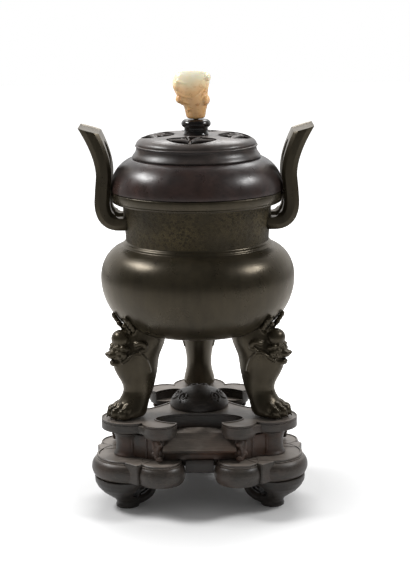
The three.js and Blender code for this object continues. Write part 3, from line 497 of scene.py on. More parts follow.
def make_crown_wood():
    finish, tree, shader = new_finish("crown_wood", 0.34, 0.5)
    clouds = ramp(
        tree, noise(tree, 34, 8, 0.62, distortion=1.0),
        (0.30, (0.018, 0.014, 0.013)), (0.52, (0.034, 0.027, 0.024)), (0.72, (0.070, 0.052, 0.045)),
    )
    # The top is paler: real dust, and a painted highlight that stands in for the light from above
    top = facing_up(tree, 0.55, 1.0)
    dust_and_sheen = math_node(tree, "MULTIPLY", top, grey(tree, noise(tree, 70, 5), 0.3, 0.7, 0.15, 0.75))
    colour = mixed(tree, dust_and_sheen, clouds, (0.160, 0.134, 0.117))
    coloured(tree, shader, colour, grey(tree, noise(tree, 60, 5), 0.3, 0.7, 0.28, 0.44))
    bumped(tree, shader, (noise(tree, 300, 6, 0.7), 0.12, 0.4))
    return finish


def make_socle_wood():
    finish, tree, shader = new_finish("socle_wood", 0.14, 0.6)
    clouds = ramp(tree, noise(tree, 120, 4), (0.35, (0.004, 0.004, 0.004)), (0.7, (0.014, 0.008, 0.007)))
    coloured(tree, shader, clouds, grey(tree, noise(tree, 200, 4), 0.3, 0.7, 0.1, 0.2))
    bumped(tree, shader, (noise(tree, 500, 3), 0.04, 0.3))
    return finish


lid_wood = make_lid_wood()
crown_wood = make_crown_wood()
socle_wood = make_socle_wood()


# %% Stand wood
WOOD_SIDES = [(0.30, (0.013, 0.011, 0.009)), (0.50, (0.030, 0.025, 0.020)), (0.72, (0.058, 0.047, 0.037))]


def make_stand_wood(name, dust_and_sheen_share, warm, light=1.0):
    """Dull dark wood, with how much dust and painted sheen pale its tops, and how warm and how light its
    sides are.
    """
    finish, tree, shader = new_finish(name, 0.42, 0.45)
    grain = noise(tree, 60, 7, 0.65, stretch=(1, 9, 9), distortion=1.4)
    stops = [(stop, tuple(light * part for part in colour)) for stop, colour in WOOD_SIDES]
    sides = ramp(tree, grain, *stops)
    patches = grey(tree, noise(tree, 30, 4), 0.42, 0.64, 0, warm)
    sides = mixed(tree, patches, sides, (0.080, 0.040, 0.025))
    # Upward faces are paler: real dust, and a painted sheen that stands in for the light from above
    dust_and_sheen_patches = grey(tree, noise(tree, 45, 6, 0.6), 0.28, 0.62, 0.45, 1)
    upwards = facing_up(tree, 0.6, 0.98)
    dust_and_sheen = math_node(tree, "MULTIPLY", upwards, math_node(tree, "MULTIPLY", dust_and_sheen_patches, dust_and_sheen_share))
    top = ramp(tree, grain, (0.3, (0.150, 0.127, 0.108)), (0.7, (0.270, 0.232, 0.198)))
    coloured(tree, shader, mixed(tree, dust_and_sheen, sides, top), grey(tree, grain, 0.3, 0.7, 0.34, 0.52))
    bumped(tree, shader, (grain, 0.14, 0.5), (noise(tree, 420, 4, 0.6), 0.12, 0.3))
    return finish


stand_wood = make_stand_wood("stand_wood", 1.0, 0.25)
waist_wood = make_stand_wood("waist_wood", 0.5, 0.75)
boss_wood = make_stand_wood("boss_wood", 0.0, 0.1, 0.8)
# A darker copy of the stand wood: painted shade for the low walls that stand back and for the feet
shaded_stand_wood = make_stand_wood("shaded_stand_wood", 0.2, 0.1, 0.5)


# %% Jade
def make_jade():
    finish, tree, shader = new_finish("jade_stone", 0.26, 0.5)
    shader.inputs["Subsurface Weight"].default_value = 0.35
    shader.inputs["Subsurface Radius"].default_value = (0.9, 0.6, 0.35)
    shader.inputs["Subsurface Scale"].default_value = 4 * MM
    place = node(tree, "TexCoord").outputs["Object"]
    height = node(tree, "SeparateXYZ", {"Vector": place}).outputs["Z"]
    drift = grey(tree, noise(tree, 60, 3), 0.3, 0.7, -3 * MM, 3 * MM)
    level = grey(tree, math_node(tree, "ADD", height, drift), 0.3665, 0.414)
    body = ramp(
        tree, level,
        (0.0, (0.62, 0.36, 0.15)), (0.25, (0.72, 0.43, 0.19)), (0.55, (0.84, 0.53, 0.26)),
        (0.72, (0.95, 0.78, 0.50)), (0.9, (0.99, 0.92, 0.71)),
    )
    low_half = grey(tree, level, 0.75, 0.5)
    spots = grey(tree, noise(tree, 150, 4, 0.6, distortion=1.5), 0.52, 0.66)
    rust = math_node(tree, "MULTIPLY", low_half, spots)
    colour = mixed(tree, grey(tree, rust, 0, 1, 0, 0.55), body, (0.42, 0.16, 0.035))
    coloured(tree, shader, colour)
    bumped(tree, shader, (noise(tree, 260, 3), 0.08, 0.4))
    return finish


jade_stone = make_jade()
print("woods and jade are made")

# %% [markdown]
# ## Floor, backdrop and light
# The object stands on a white sheet that runs out of sight. Two soft boxes, one at each side, give the twin
# highlights on the bowl and lid. A third hangs behind: it pales the tops and throws the shadow forwards.
# The world fills the shade evenly. The camera sees plain white behind the object. Shiny surfaces mirror
# that white, and a dark room in front of it.

# %% Floor
put_down()
bpy.ops.mesh.primitive_grid_add(x_subdivisions=8, y_subdivisions=8, size=9)
floor = named("white_sheet")
sheet, sheet_tree, sheet_shader = new_finish("white_sheet", 0.8, 0.1)
seen = node(sheet_tree, "LightPath").outputs["Is Camera Ray"]
sheet_shader.inputs["Emission Color"].default_value = (1, 1, 1, 1)
spot = node(sheet_tree, "TexCoord").outputs["Object"]
distance = node(sheet_tree, "VectorMath", {0: spot}, operation="LENGTH").outputs["Value"]
glow = grey(sheet_tree, distance, 0.12, 0.38, 0.0, 0.9)
open_air = node(sheet_tree, "AmbientOcclusion", {"Distance": 0.1}, samples=8).outputs["AO"]
openness = grey(sheet_tree, open_air, 0.0, 0.6)
shade = mixed(sheet_tree, openness, (0.75, 0.75, 0.75), (0.82, 0.82, 0.82))
sheet_tree.links.new(shade, sheet_shader.inputs["Base Color"])
sheet_tree.links.new(math_node(sheet_tree, "MULTIPLY", seen, glow), sheet_shader.inputs["Emission Strength"])
floor.data.materials.append(sheet)

# %% World
FILL = 0.40
world = bpy.data.worlds.new("studio")
bpy.context.scene.world = world
world.use_nodes = True
air = world.node_tree
path = node(air, "LightPath").outputs
shiny = math_node(air, "MAXIMUM", path["Is Glossy Ray"], path["Is Transmission Ray"])
direction = node(air, "SeparateXYZ", {"Vector": node(air, "TexCoord").outputs["Generated"]}).outputs["Y"]
backdrop = grey(air, direction, 0.15, 0.75, 0.07, 1)
strength = mixed(air, shiny, (FILL, FILL, FILL), backdrop)
strength = mixed(air, path["Is Camera Ray"], strength, (1.0, 1.0, 1.0))
air.links.new(strength, air.nodes["Background"].inputs["Color"])


# %% Soft boxes
def soft_box(name, direction, distance, width, height, power):
    """A rectangular lamp that faces the middle of the burner."""
    put_down()
    middle = Vector((0, AXIS_Y, 0.24))
    away = Vector(direction).normalized()
    bpy.ops.object.light_add(type="AREA", location=middle + away * distance)
    lamp = named(name)
    lamp.rotation_euler = away.to_track_quat("Z", "Y").to_euler()
    lamp.data.shape = "RECTANGLE"
    lamp.data.size = width
    lamp.data.size_y = height
    lamp.data.energy = power
    return lamp


soft_box("left_box", (-0.72, 0.08, 0.69), 1.3, 0.5, 0.26, 13)
soft_box("right_box", (0.80, -0.10, 0.60), 1.3, 0.4, 0.24, 8)
soft_box("back_box", (0.06, 0.66, 0.76), 1.5, 1.1, 0.5, 15)
print("the stage is lit")

# %% [markdown]
# ## Bowl
# The bowl was cast in one piece: a round belly, a sharp bead where the neck starts, a straight neck and a
# banded rim. Such a shape is all circles, so half its section is drawn and spun. The inside is drawn as
# well, which gives the wall.

# %% Bowl
# Radii and heights in millimetres
RIM = top_of("vessel_body")
BELLY = 92.7
BELLY_Z = 216.7
BELLY_FLAT = 44
BOWL_LOW = 163.7
BOWL_WALL = 4
NECK = 68.1
BAND_FROM = 252.5


def belly(grown=0.0, shoulder=74):
    """Half section of the belly from its lowest point to its shoulder, grown or shrunk by millimetres."""
    low = arc(BELLY_FLAT, BELLY_Z, BELLY - BELLY_FLAT + grown, BELLY_Z - BOWL_LOW + grown, -90, 0, 20)
    top = arc(NECK, BELLY_Z, BELLY - NECK + grown, 31 + grown, 0, shoulder, 16)
    return [(0, BOWL_LOW - grown)] + low + top[1:]


bead = [(73.4, 247.2), (71.6, 247.5), (71.0, 248.2), (70.9, 249.2), (70.3, 250.2), (69.2, 250.8)]
neck = [(68.3, 251.6), (NECK, 252.6), (68.4, 258), (69.0, 265), (69.9, 273)]
rim = raised(RIM, (70.6, -12.4), (71.1, -11.3), (72, -10.9), (79.4, -10.5), (80.5, -9.9), (80.9, -8.9))
rim += raised(RIM, (80.6, -8), (81.2, -7), (81.8, -5), (82, -2.6), (82, -0.7), (81.6, -0.2), (81, 0))
lining = raised(RIM, (64.9, 0), (64.5, -0.6)) + [(64.5, 252)] + belly(-BOWL_WALL, 92)[::-1]
bowl = turned("bowl", belly() + bead + neck + rim + lining, 160)
smooth(bowl, 40)
finished(bowl, "censer", "bronze", bronze, "vessel_body")

# The outside of the neck gets the bronze with the cast band
bowl.data.materials.append(bronze_band)
for face in bowl.data.polygons:
    out = math.hypot(face.center.x - AXIS_X, face.center.y - AXIS_Y) / MM
    if BAND_FROM < face.center.z / MM < RIM - 12 and out > 67:
        face.material_index = 1

# %% [markdown]
# ## Handles
# Each handle is a flat strap that leaves the neck level, bends upwards close to the rim and flares out at
# the top. Its section has a ridge on the front, nearer the outer edge, and a broad bevel on the inner edge.
# The section is drawn once and pulled along the bend. An arched window is then cut through, which leaves a
# front and a rear strap.

# %% Pulling a section along a bend
def swept(name, section, stations):
    """Pulls a section of (across, y) points through stations of (x, z, heading) in the XZ plane."""
    x, z, heading = stations[0]
    side = Vector((math.sin(math.radians(heading)), 0, -math.cos(math.radians(heading))))
    piece = cut_out(name, section, 0, 0.01)
    hold(piece)
    edit_all()
    bpy.ops.mesh.remove_doubles(threshold=0.02 * MM)
    bpy.ops.object.mode_set(mode="OBJECT")
    for vertex in piece.data.vertices:
        vertex.co = Vector((x, vertex.co.y / MM, z)) * MM + side * vertex.co.x
    edit_all()
    for (x0, z0, heading0), (x1, z1, heading1) in zip(stations, stations[1:]):
        step = ((x1 - x0) * MM, 0, (z1 - z0) * MM)
        bpy.ops.mesh.extrude_region_move(TRANSFORM_OT_translate={"value": step})
        if heading1 != heading0:
            angle, centre = math.radians(heading1 - heading0), (x1 * MM, 0, z1 * MM)
            bpy.ops.transform.rotate(value=angle, orient_axis="Y", center_override=centre)
    return outwards(piece)


def bend(start, corner, end, steps):
    """Stations on a smooth bend from one point to another, steered by a corner point."""
    stations = []
    for i in range(steps + 1):
        t = i / steps
        x = (1 - t) ** 2 * start[0] + 2 * t * (1 - t) * corner[0] + t * t * end[0]
        z = (1 - t) ** 2 * start[1] + 2 * t * (1 - t) * corner[1] + t * t * end[1]
        dx = (1 - t) * (corner[0] - start[0]) + t * (end[0] - corner[0])
        dz = (1 - t) * (corner[1] - start[1]) + t * (end[1] - corner[1])
        stations.append((x, z, math.degrees(math.atan2(dz, dx))))
    return stations


# %% One handle
STRAP_X = 86.9
ARM_Z = 271.6
TIP_Z = 358.3
WINDOW_HALF = 11
WINDOW_TOP = 336
strap_section = [(7.2, -22.0), (7.2, 22.0), (2.6, 24.0), (-4.0, 23.6), (-7.2, 20.6)]
strap_section += [(-7.2, -20.6), (-4.0, -23.6), (2.6, -24.0)]
route = [(66, ARM_Z, 0), (70, ARM_Z, 0)]
route += bend((73, ARM_Z), (STRAP_X + 2.4, ARM_Z), (STRAP_X + 2.0, 292), 12)
route += [(STRAP_X + 1.2, 303, 94), (STRAP_X + 0.4, 311, 93)]
route += bend((STRAP_X, 316), (STRAP_X, 337), (104.6, 366), 12)
handle = swept("handle", strap_section, route)
print("heading at the end of the handle", round(route[-1][2], 1))

window = [(-WINDOW_HALF, 240), (WINDOW_HALF, 240)]
window += arc(0, WINDOW_TOP, WINDOW_HALF, WINDOW_HALF, 0, 180, 12)
window_cutter = cut_out("window", window, 0, 130)
hold(window_cutter)
window_cutter.matrix_world = Matrix(((0, 0, 1, 0), (1, 0, 0, 0), (0, 1, 0, 0), (0, 0, 0, 1)))
write_place()
cut(handle, window_cutter)

# The straps pass close to the rim and the lid, so their inner faces are hollowed to clear both
space = [(0, 240), (69.2, 240), (69.8, 276), (76.4, 276), (78.9, 277.4), (79.8, 280.4)]
space += [(79.8, RIM - 12), (82.4, RIM - 12), (82.4, 375), (0, 375)]
cut(handle, turned("bowl_and_lid_space", space, 96))

# The top is cut off on a slope that rises to a pointed outer lip, and its face is sunk a little
hold(handle)
edit_all()
tip = (99.5 * MM, 0, TIP_Z * MM)
bpy.ops.mesh.bisect(plane_co=tip, plane_no=(-0.28, 0, 1), use_fill=True, clear_outer=True)
bpy.ops.mesh.inset(thickness=2.0 * MM, depth=-1.0 * MM)
put_down()
softened(handle, 0.7, 3, 24)
smooth(handle, 30)
repeated(handle, {"right": 0, "left": 180}, "handle_strap", "censer", "bronze", bronze, "handle")

# %% [markdown]
# ## Legs
# Every leg is the foreleg of a small beast. Its head juts out under the belly: a smooth round brow, beaded
# eyebrows, a muzzle with an open mouth, curled ears and horns that lie on the bowl. A ridge of mane runs
# from the jaw and rolls into a scroll at the side. The calf narrows to an ankle, and the paw spreads four
# knuckled toes. Such a shape is pressed together from lumps and ribs, melted into one skin, and softened.

# %% Trunk and paw
# How far out a leg stands, how high its brow lies, and the board that it stands on
LEG = 77
BROW = 156.7
STAND = top_of("stand_top_plate")


def on_leg(side, *spots):
    """Points beside the head, from (out, sideways, up) counted from the leg's axis and the brow."""
    return [(LEG + out, side * across, BROW + up) for out, across, up in spots]


def leg_trunk():
    shape = lofted("trunk", [
        (LEG + 1.5, 0, STAND, 15.5, 14.0), (LEG + 0.6, 0, STAND + 3, 17.4, 15.8),
        (LEG - 1.4, 0, STAND + 8, 17.0, 15.8), (LEG - 5.0, 0, STAND + 15, 15.0, 14.0),
        (LEG - 9.5, 0, STAND + 22, 14.2, 12.6), (LEG - 11.4, 0, STAND + 29, 15.4, 12.4),
        (LEG - 10.4, 0, STAND + 36, 18.0, 13.2), (LEG - 8.9, 0, BROW - 25, 21.4, 14.8),
        (LEG - 7.8, 0, BROW - 17, 23.2, 16.0), (LEG - 8.8, 0, BROW - 9, 23.8, 17.0),
        (LEG - 14.6, 0, BROW - 1, 22.6, 18.2), (LEG - 18.0, 0, BROW + 8, 21.5, 18.8),
        (LEG - 16.0, 0, BROW + 17, 17.0, 17.4), (LEG - 8.0, 0, BROW + 26, 11.0, 13.0),
    ])
    return modified(shape, "SUBSURF", levels=1, render_levels=1)


def paw():
    parts = []
    for side in (-10.4, -3.6, 3.6, 10.4):
        inner = abs(side) < 8
        out = LEG + (12.0 if inner else 8.2)
        slant = side * 0.9
        parts.append(lump(out - 3, side * 0.92, STAND + 9.6, 8.4, 4.3, 5.6, tilt=26, turn=slant))
        parts.append(lump(out + 4.2, side * 1.05, STAND + 6.0, 4.7, 4.2, 5.6, tilt=8, turn=slant))
        parts.append(lump(out + 1.0, side, STAND + 3.4, 7.2, 4.3, 3.6, turn=slant))
        claw = [(out + 7.2, side * 1.08, STAND + 6.2), (out + 9.6, side * 1.1, STAND + 4.0)]
        claw += [(out + 9.8, side * 1.12, STAND + 1.0)]
        parts.append(cord_along(claw, 3.0, taper=0.35))
    parts.append(lump(LEG - 1, 0, STAND + 6, 15.5, 15.8, 7.0))
    return parts


# %% Head of the beast
# Lumps as (out, sideways, up, half sizes, tilt): brow, skull, snout, nose, jaw, chin and throat
MIDDLE_LUMPS = [
    (7.4, 0, 8.2, 8.8, 9.8, 8.8), (5.2, 0, -2.2, 10.6, 11.6, 7.0, 10), (12.6, 0, -4.8, 8.6, 7.4, 4.6, 20),
    (17.0, 0, -5.6, 5.2, 6.6, 3.9, 28), (9.8, 0, -14.0, 9.0, 7.4, 3.0, 12),
    (15.0, 0, -14.4, 4.2, 5.6, 2.6, -18), (4.0, 0, -9.0, 9.0, 12.0, 7.0, 14),
]
# Nostril, eye and pupil, four beads of the eyebrow, and three of the cheek
SIDE_LUMPS = [
    (20.4, 2.9, -5.4, 2.4, 2.5, 2.2), (12.0, 6.5, -2.2, 3.4, 3.6, 3.2), (14.4, 7.6, -2.4, 1.8, 1.9, 1.8),
    (15.2, 2.4, 0.6, 2.7, 2.4, 2.2), (13.4, 6.2, 1.8, 2.6, 2.5, 2.1), (10.2, 9.6, 1.6, 2.6, 2.5, 2.1),
    (6.8, 12.0, 0.2, 2.5, 2.3, 2.1), (9.4, 10.6, -4.8, 3.0, 2.6, 2.4), (12.2, 8.2, -7.6, 2.7, 2.3, 2.2),
    (7.2, 11.8, -8.8, 2.8, 2.4, 2.4),
]


def head_lump(side, out, across, up, half_x, half_y, half_z, tilt=0.0):
    return lump(LEG + out, side * across, BROW + up, half_x, half_y, half_z, tilt=tilt)


def mask():
    parts = [head_lump(1, *row) for row in MIDDLE_LUMPS]
    for side in (-1, 1):
        parts += [head_lump(side, *row) for row in SIDE_LUMPS]
        lip = on_leg(side, (17, 2.4, -9.2), (14, 7.2, -8.4), (9, 9.4, -10.8), (9, 8.0, -14.4))
        lip += on_leg(side, (14, 5.0, -13.6))
        parts.append(cord_along(lip, 2.4))
        parts.append(cord_along(on_leg(side, (15.4, 3.6, -10.0), (15.0, 3.9, -12.6)), 2.0, taper=0.4))
    return parts


# %% Ears, horns and mane
def curls(side):
    ear = on_leg(side, (-0.5, 13.0, 3), (-3, 17.0, 6), (-7.5, 19.0, 5.5))
    ear += on_leg(side, (-10.5, 19.4, 1), (-8, 19.2, -2.5), (-5, 18.0, 0))
    horn = on_leg(side, (-2, 5.0, 11), (-1.5, 9.5, 15), (1, 12.5, 19.5), (4.5, 13.2, 24.5), (7.5, 12.0, 29))
    small_horn = on_leg(side, (0, 4.0, 13.5), (3, 6.5, 18), (5.5, 6.0, 21.5))
    mane = on_leg(side, (12, 9.4, -13), (8, 13.2, -9.4), (4, 15.6, -4.8), (-0.4, 16.8, -3.0))
    mane += on_leg(side, (-5, 17.4, -4.8), (-10.4, 17.0, -10.7), (-14.4, 15.7, -18.9), (-16, 14.2, -25))
    tuft = on_leg(side, (-3, 17.6, -4), (-6, 18.4, 1), (-9.6, 18.6, 4))
    knobs = []
    for i in range(4):
        t = i / 3
        knobs.append(lump(LEG + 0.5 + 6.0 * t, side * (12.6 + 0.4 * t), BROW + 18.5 + 9.0 * t, 2.9, 2.7, 2.5))
    return [
        cord_along(ear, 5.2, taper=0.6),
        cord_along(horn, 5.0, taper=0.5),
        cord_along(small_horn, 3.8, taper=0.8),
        lump(LEG + 5.9, side * 6.0, BROW + 22.0, 2.6, 2.5, 2.5),
        lump(LEG + 7.8, side * 12.0, BROW + 29.3, 2.5, 2.4, 2.6),
        cord_along(mane, 2.8, taper=0.8),
        cord_along(tuft, 2.8, taper=0.6),
        *knobs,
    ]


def muzzle_cuts(leg):
    """Sinks the mouth and the nostrils."""
    cut(leg, lump(LEG + 17.5, 0, BROW - 10.8, 7.0, 5.4, 1.5, tilt=8))
    for side in (-1, 1):
        cut(leg, lump(LEG + 22.4, side * 2.9, BROW - 5.0, 1.2, 1.1, 1.0, sides=12))
    return leg


leg = fused("leg", 0.8, 2, leg_trunk(), *paw(), *mask(), *curls(-1), *curls(1))
muzzle_cuts(leg)
cut(leg, turned("bowl_space", belly(0.3, 60) + [(0, 243.8)], 128))
cut(leg, slab(0, 160, 60, STAND))
modified(leg, "SMOOTH", factor=0.3, iterations=1)
smooth(leg, 50)
repeated(leg, LOBES, "leg_beast", "censer", "bronze", bronze, "leg")

# %% [markdown]
# ## Lid
# The lid is turned from wood: a full dome, then a crown let into it with a hollow edge, a bead and a top
# that is level in the middle and rounds over at its shoulder. Cloud-shaped openings in the top let the
# smoke out. They are sawn out of the turned crown, and small curled islands of wood are left in them, held
# by thin bridges.

# %% Dome
SEAT = 330.5
SEAT_ANGLE = 70
arch = (SEAT - RIM - 1) / math.sin(math.radians(SEAT_ANGLE))
dome_outline = raised(RIM, (64, 0.4), (64, -7.8), (60, -7.8)) + arc(30, 296, 28, 28, 8, 76, 12)
dome_outline += raised(SEAT, (37, -0.8), (50, -0.5), (60.6, -0.2))
dome_outline += arc(52, RIM + 1, 30, arch, SEAT_ANGLE, 2, 22)
dome_outline += raised(RIM, (81.9, 0.7), (81.2, 0.4), (64, 0.4))
dome = turned("lid_dome_turned", dome_outline, 160)
smooth(dome, 35)
finished(dome, "lid", "lid_wood", lid_wood, "lid_dome")

# %% Crown
CROWN_TOP = 352
CROWN_FLAT = 36
CROWN_ROUND = 21.2
CROWN_FALL = 9.2


def crown_height(out):
    """How high the crown's top stands at a distance from the axis."""
    past = max(0, out - CROWN_FLAT) / CROWN_ROUND
    return CROWN_TOP - CROWN_FALL * (1 - math.sqrt(1 - past * past))


hollow_edge = raised(SEAT, (58.6, 0.2), (60.4, 0.3), (60.8, 1.5), (60.2, 2.9), (59.0, 4.3))
hollow_edge += raised(SEAT, (57.8, 6.2), (57.1, 8.2), (56.8, 9.8), (56.9, 10.7))
bead = arc(56.5, SEAT + 11.7, 1.5, 0.9, -60, 75, 6)
top = [(out, crown_height(out)) for out in (56.9, 56.4, 55.4, 54, 52, 49.5, 46.5, 43, 39.5, CROWN_FLAT)]
under = raised(CROWN_TOP, (2.6, 0), (2.6, -5), (39, -5), (47, -7.5), (51, -11), (52, -15))
under += raised(SEAT, (52, 0.2), (58.6, 0.2))
crown = turned("lid_crown_turned", hollow_edge + bead + top + under, 160)
print("dome and crown are turned")


# %% Cloud openings
CLOUD_TURN = -97


def cloud_cutter(angle):
    """A lens-shaped opening with a heart-shaped nick at its outer edge."""
    outline = []
    for i in range(40):
        a = 2 * math.pi * i / 40
        across = 23.5 * math.cos(a)
        depth = 15.2 * math.sin(a) * (1 - (across / 30) ** 4)
        if math.sin(a) < 0:
            depth -= 1.0 * math.exp(-((across / 2.2) ** 2))
        outline.append((36 - depth, across))
    return settled(cut_out("cloud", outline, 335, 356), turn=angle)


for quarter in range(4):
    cut(crown, cloud_cutter(90 * quarter + CLOUD_TURN))
print("the crown has", len(crown.data.polygons), "faces after sawing")


# %% Curled islands
def crown_rib(thickness, taper, *spots):
    """A rib through (x, y) spots that lies in the crown's top, standing a little proud of it."""
    points = [(x, y, crown_height(math.hypot(x, y)) - 0.35 * thickness) for x, y in spots]
    return cord_along(points, thickness, taper=taper)


def cloud_island():
    """Two wing-shaped scrolls that meet in the middle of an opening, with a rib back to the crown."""
    ribs = [crown_rib(2.8, 0.7, (52, 0), (47, 0), (43, 0))]
    for s in (-1, 1):
        wing = [(44, s * 0.6), (41, s * 3.8), (39.6, s * 8.4), (38.4, s * 12.6), (37, s * 16.8)]
        wing += [(35.6, s * 21.4)]
        under_wing = [(40, s * 4), (36.8, s * 8.6), (35.8, s * 13), (35.4, s * 17.6), (35.6, s * 21)]
        curl = [(38, s * 7.6), (34, s * 10.6), (30.4, s * 8.4), (31.6, s * 4.8), (34.4, s * 6.2)]
        stem = [(44, s * 0.8), (38.4, s * 1.6), (31, s * 2.6), (20.4, s * 5.8)]
        ribs += [crown_rib(4.2, 0.5, *wing), crown_rib(3.2, 0.5, *under_wing)]
        ribs += [crown_rib(2.6, 0.7, *curl), crown_rib(2.2, 0.9, *stem)]
    return joined("island", *ribs)


island = cloud_island()
islands = [settled(copied(island, "island_copy"), turn=90 * quarter + CLOUD_TURN) for quarter in range(4)]
removed(island)
crown = joined("lid_crown_turned", crown, *islands)
smooth(crown, 32)
finished(crown, "lid", "lid_wood", crown_wood, "lid_crown")

# %% [markdown]
# ## Socle and peg
# A small waisted collar of black wood holds the jade. It is turned like the lid, with a rounded rim that
# catches two sharp lights. The peg inside is hidden, so its solid stays and only gets the same wood.

# %% Socle
SOCLE_TOP = 366.5
socle_outline = raised(CROWN_TOP, (2.6, 0.1), (11.6, 0.1), (11.9, 0.8), (11.5, 1.8), (10.9, 3.4), (11.1, 4.8))
socle_outline += arc(9.6, SOCLE_TOP - 4, 4.3, 4, -70, 84, 14)
socle_outline += [(9.4, SOCLE_TOP), (2.6, SOCLE_TOP), (2.6, CROWN_TOP + 0.1)]
socle = turned("socle_turned", socle_outline, 96)
smooth(socle, 40)
finished(socle, "lid", "dark_wood", socle_wood, "knob_socle")
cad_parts["finial_peg"].data.materials.clear()
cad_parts["finial_peg"].data.materials.append(socle_wood)

# %% [markdown]
# ## Jade
# The knob is a small old carving set on the socle: a bird that turns among folded leaves, leaning a little.
# It is wider above than below, with a pointed lobe that overhangs on one side and a wing on the other. The
# body is pulled up through slices, the lobes are pressed on, and swirling grooves are cut before it is
# softened.

# %% Jade
FIGURE_TOP = top_of("jade_finial")
jade_slices = [
    (0.0, 0, SOCLE_TOP, 8.7, 7.8), (-0.2, 0, 370, 9.3, 8.2), (-0.3, 0, 375, 10.1, 8.6),
    (-0.2, 0, 379.5, 11.4, 9.0), (-1.0, 0, 382.5, 13.0, 9.6), (-2.2, 0, 386.5, 14.4, 10.2),
    (-4.0, 0, 391, 15.2, 10.6), (-4.7, 0, 396, 17.0, 11.0), (-4.4, 0, 401, 17.6, 11.0),
    (-3.4, 0, 405.6, 17.2, 10.4), (-3.3, 0, 409, 16.0, 9.2), (-3.4, 0, 411.6, 13.4, 7.4),
    (-3.6, 0, 413.2, 9.0, 5.0), (-3.6, 0, FIGURE_TOP - 0.2, 4.0, 2.4),
]


def on_jade(*spots, side=-1, lift=0.0):
    """Points on the jade's front or back at (x, z) spots."""
    points = []
    for x, z in spots:
        middle, _, _, half_x, half_y = [s for s in jade_slices if s[2] <= z][-1]
        reach = min(0.97, abs(x - middle) / half_x)
        points.append((x, side * (half_y * math.sqrt(1 - reach * reach) + lift), z))
    return points


def jade_figure():
    body = modified(lofted("jade_body", jade_slices, 28), "SUBSURF", levels=1, render_levels=1)
    lobes = [
        lump(-14.2, -1.0, 386.0, 4.6, 6.0, 5.0, tilt=52),
        lump(-12.6, -1.5, 382.2, 2.6, 3.4, 2.2, tilt=30),
        lump(9.0, -1.5, 384.6, 4.4, 8.0, 5.4, tilt=8),
        lump(10.8, -1.0, 406.0, 3.6, 7.0, 4.0, tilt=-20),
        lump(-17.0, -1.0, 398.0, 4.6, 7.4, 6.4, tilt=-8),
    ]
    folds = [
        [(-17, 392), (-11, 388), (-4, 387), (3, 391), (9, 398)],
        [(-12, 384), (-5, 381), (2, 384), (8, 391), (11, 399)],
        [(-8, 376), (-1, 376), (5, 381), (10, 388)],
        [(-18, 403), (-9, 399.5), (1, 401), (10, 406)],
    ]
    ribs = [cord_along(on_jade(*fold, side=side), 3.0, taper=0.6) for fold in folds for side in (-1, 1)]
    figure = fused("jade_figure", 0.55, 3, body, *lobes, *ribs)
    for fold in folds:
        groove = [(x, z - 2.4) for x, z in fold]
        for side in (-1, 1):
            cut(figure, cord_along(on_jade(*groove, side=side, lift=0.3), 1.5, taper=0.6))
    cut(figure, lump(-15.4, 0, 378.4, 5.0, 14, 2.2, tilt=26))
    return modified(figure, "SMOOTH", factor=0.4, iterations=2)


jade_piece = jade_figure()
smooth(jade_piece, 60)
finished(jade_piece, "lid", "jade", jade_stone, "jade_finial")

# %% [markdown]
# ## Top board of the stand
# Seen from above the board has three round lobes for the paws. Between them, three kidney-shaped openings
# are closed in front by a pair of hooks. The outline is made by adding discs and bars and by cutting ovals.
# It is drawn in four layers, one on another: a narrow lip all round, the sunk top inside it, a groove, and
# the board's side. Turned undercuts lie below each lobe and hook. The bars end earlier in the upper layers,
# so that the little steps between the lobes lie lower.

# %% Outline tools
def disc(x, y, radius, low, high, sides=96):
    put_down()
    place = Vector((x, y, (low + high) / 2)) * MM
    depth = (high - low) * MM
    bpy.ops.mesh.primitive_cylinder_add(vertices=sides, radius=radius * MM, depth=depth, location=place)
    piece = named("disc")
    write_place()
    return piece


def drum(x, y, outline, steps=96):
    """A turned drum whose outline is (radius, height), set at a spot."""
    return settled(turned("drum", outline, steps), x=x, y=y)


def from_opening(out, side, mirror):
    """Where a spot measured from an opening's middle falls, when the neighbouring lobe points along +X."""
    cosine, sine = math.cos(math.radians(60)), math.sin(math.radians(60))
    return out * cosine + side * sine, mirror * (out * sine - side * cosine)


def added(piece, *others):
    for other in others:
        cut(piece, other, "UNION")
    return piece


def polar(radius, angle):
    return radius * math.cos(math.radians(angle)), radius * math.sin(math.radians(angle))


# %% Board outline
# Radii, places and heights in millimetres, and the angle of the bars between lobe and hook
LOBE = 26.4
HOOK = 16.4
HOOK_OUT = 61
HOOK_SIDE = 37.3
TAB_ANGLE = 19.5
STEP_FROM = 78
OPENING_OUT = 47.5
BASE_TOP = 52.5
WAIST_TOP = 74


def bar(reach, half_width, angle, low, high):
    outline = [(38, -half_width), (reach, -half_width), (reach, half_width), (38, half_width)]
    return settled(cut_out("bar", outline, low, high), turn=angle)


def opening_oval(slim, low, high, turn):
    """The cutter for one kidney-shaped opening, grown by as much as the outline is drawn in."""
    oval = disc(0, 0, 1, low, high)
    oval.scale = (17 + slim, 41.2 + slim, 1)
    settled(oval)
    return settled(settled(oval, x=OPENING_OUT), turn=turn)


def board_layer(low, high, slim, reach):
    """The board's outline between two heights, drawn in all round, with bars that end at a reach."""
    spread = ((-30, 69), (-15, 78), (15, 78), (30, 69))
    corners = [polar(out, base + step) for base in (90, 210, 330) for step, out in spread]
    layer = cut_out("board_layer", corners, low, high)
    for base in LOBES.values():
        added(layer, settled(disc(LEG, 0, LOBE - slim, low, high), turn=base))
        for mirror in (-1, 1):
            x, y = from_opening(HOOK_OUT, HOOK_SIDE, mirror)
            added(layer, settled(disc(x, y, HOOK - slim, low, high, 64), turn=base))
            added(layer, settled(bar(reach - slim, 6.5 - slim, mirror * TAB_ANGLE, low, high), turn=base))
    for base in OPENINGS.values():
        cut(layer, opening_oval(slim, low - 4, high + 4, base))
        edge = [(OPENING_OUT, 24 + slim), (65, 20 + slim), (100, 20 + slim)]
        mouth = [(x, -y) for x, y in edge] + edge[::-1]
        cut(layer, settled(cut_out("mouth", mouth, low - 4, high + 4), turn=base))
    return layer


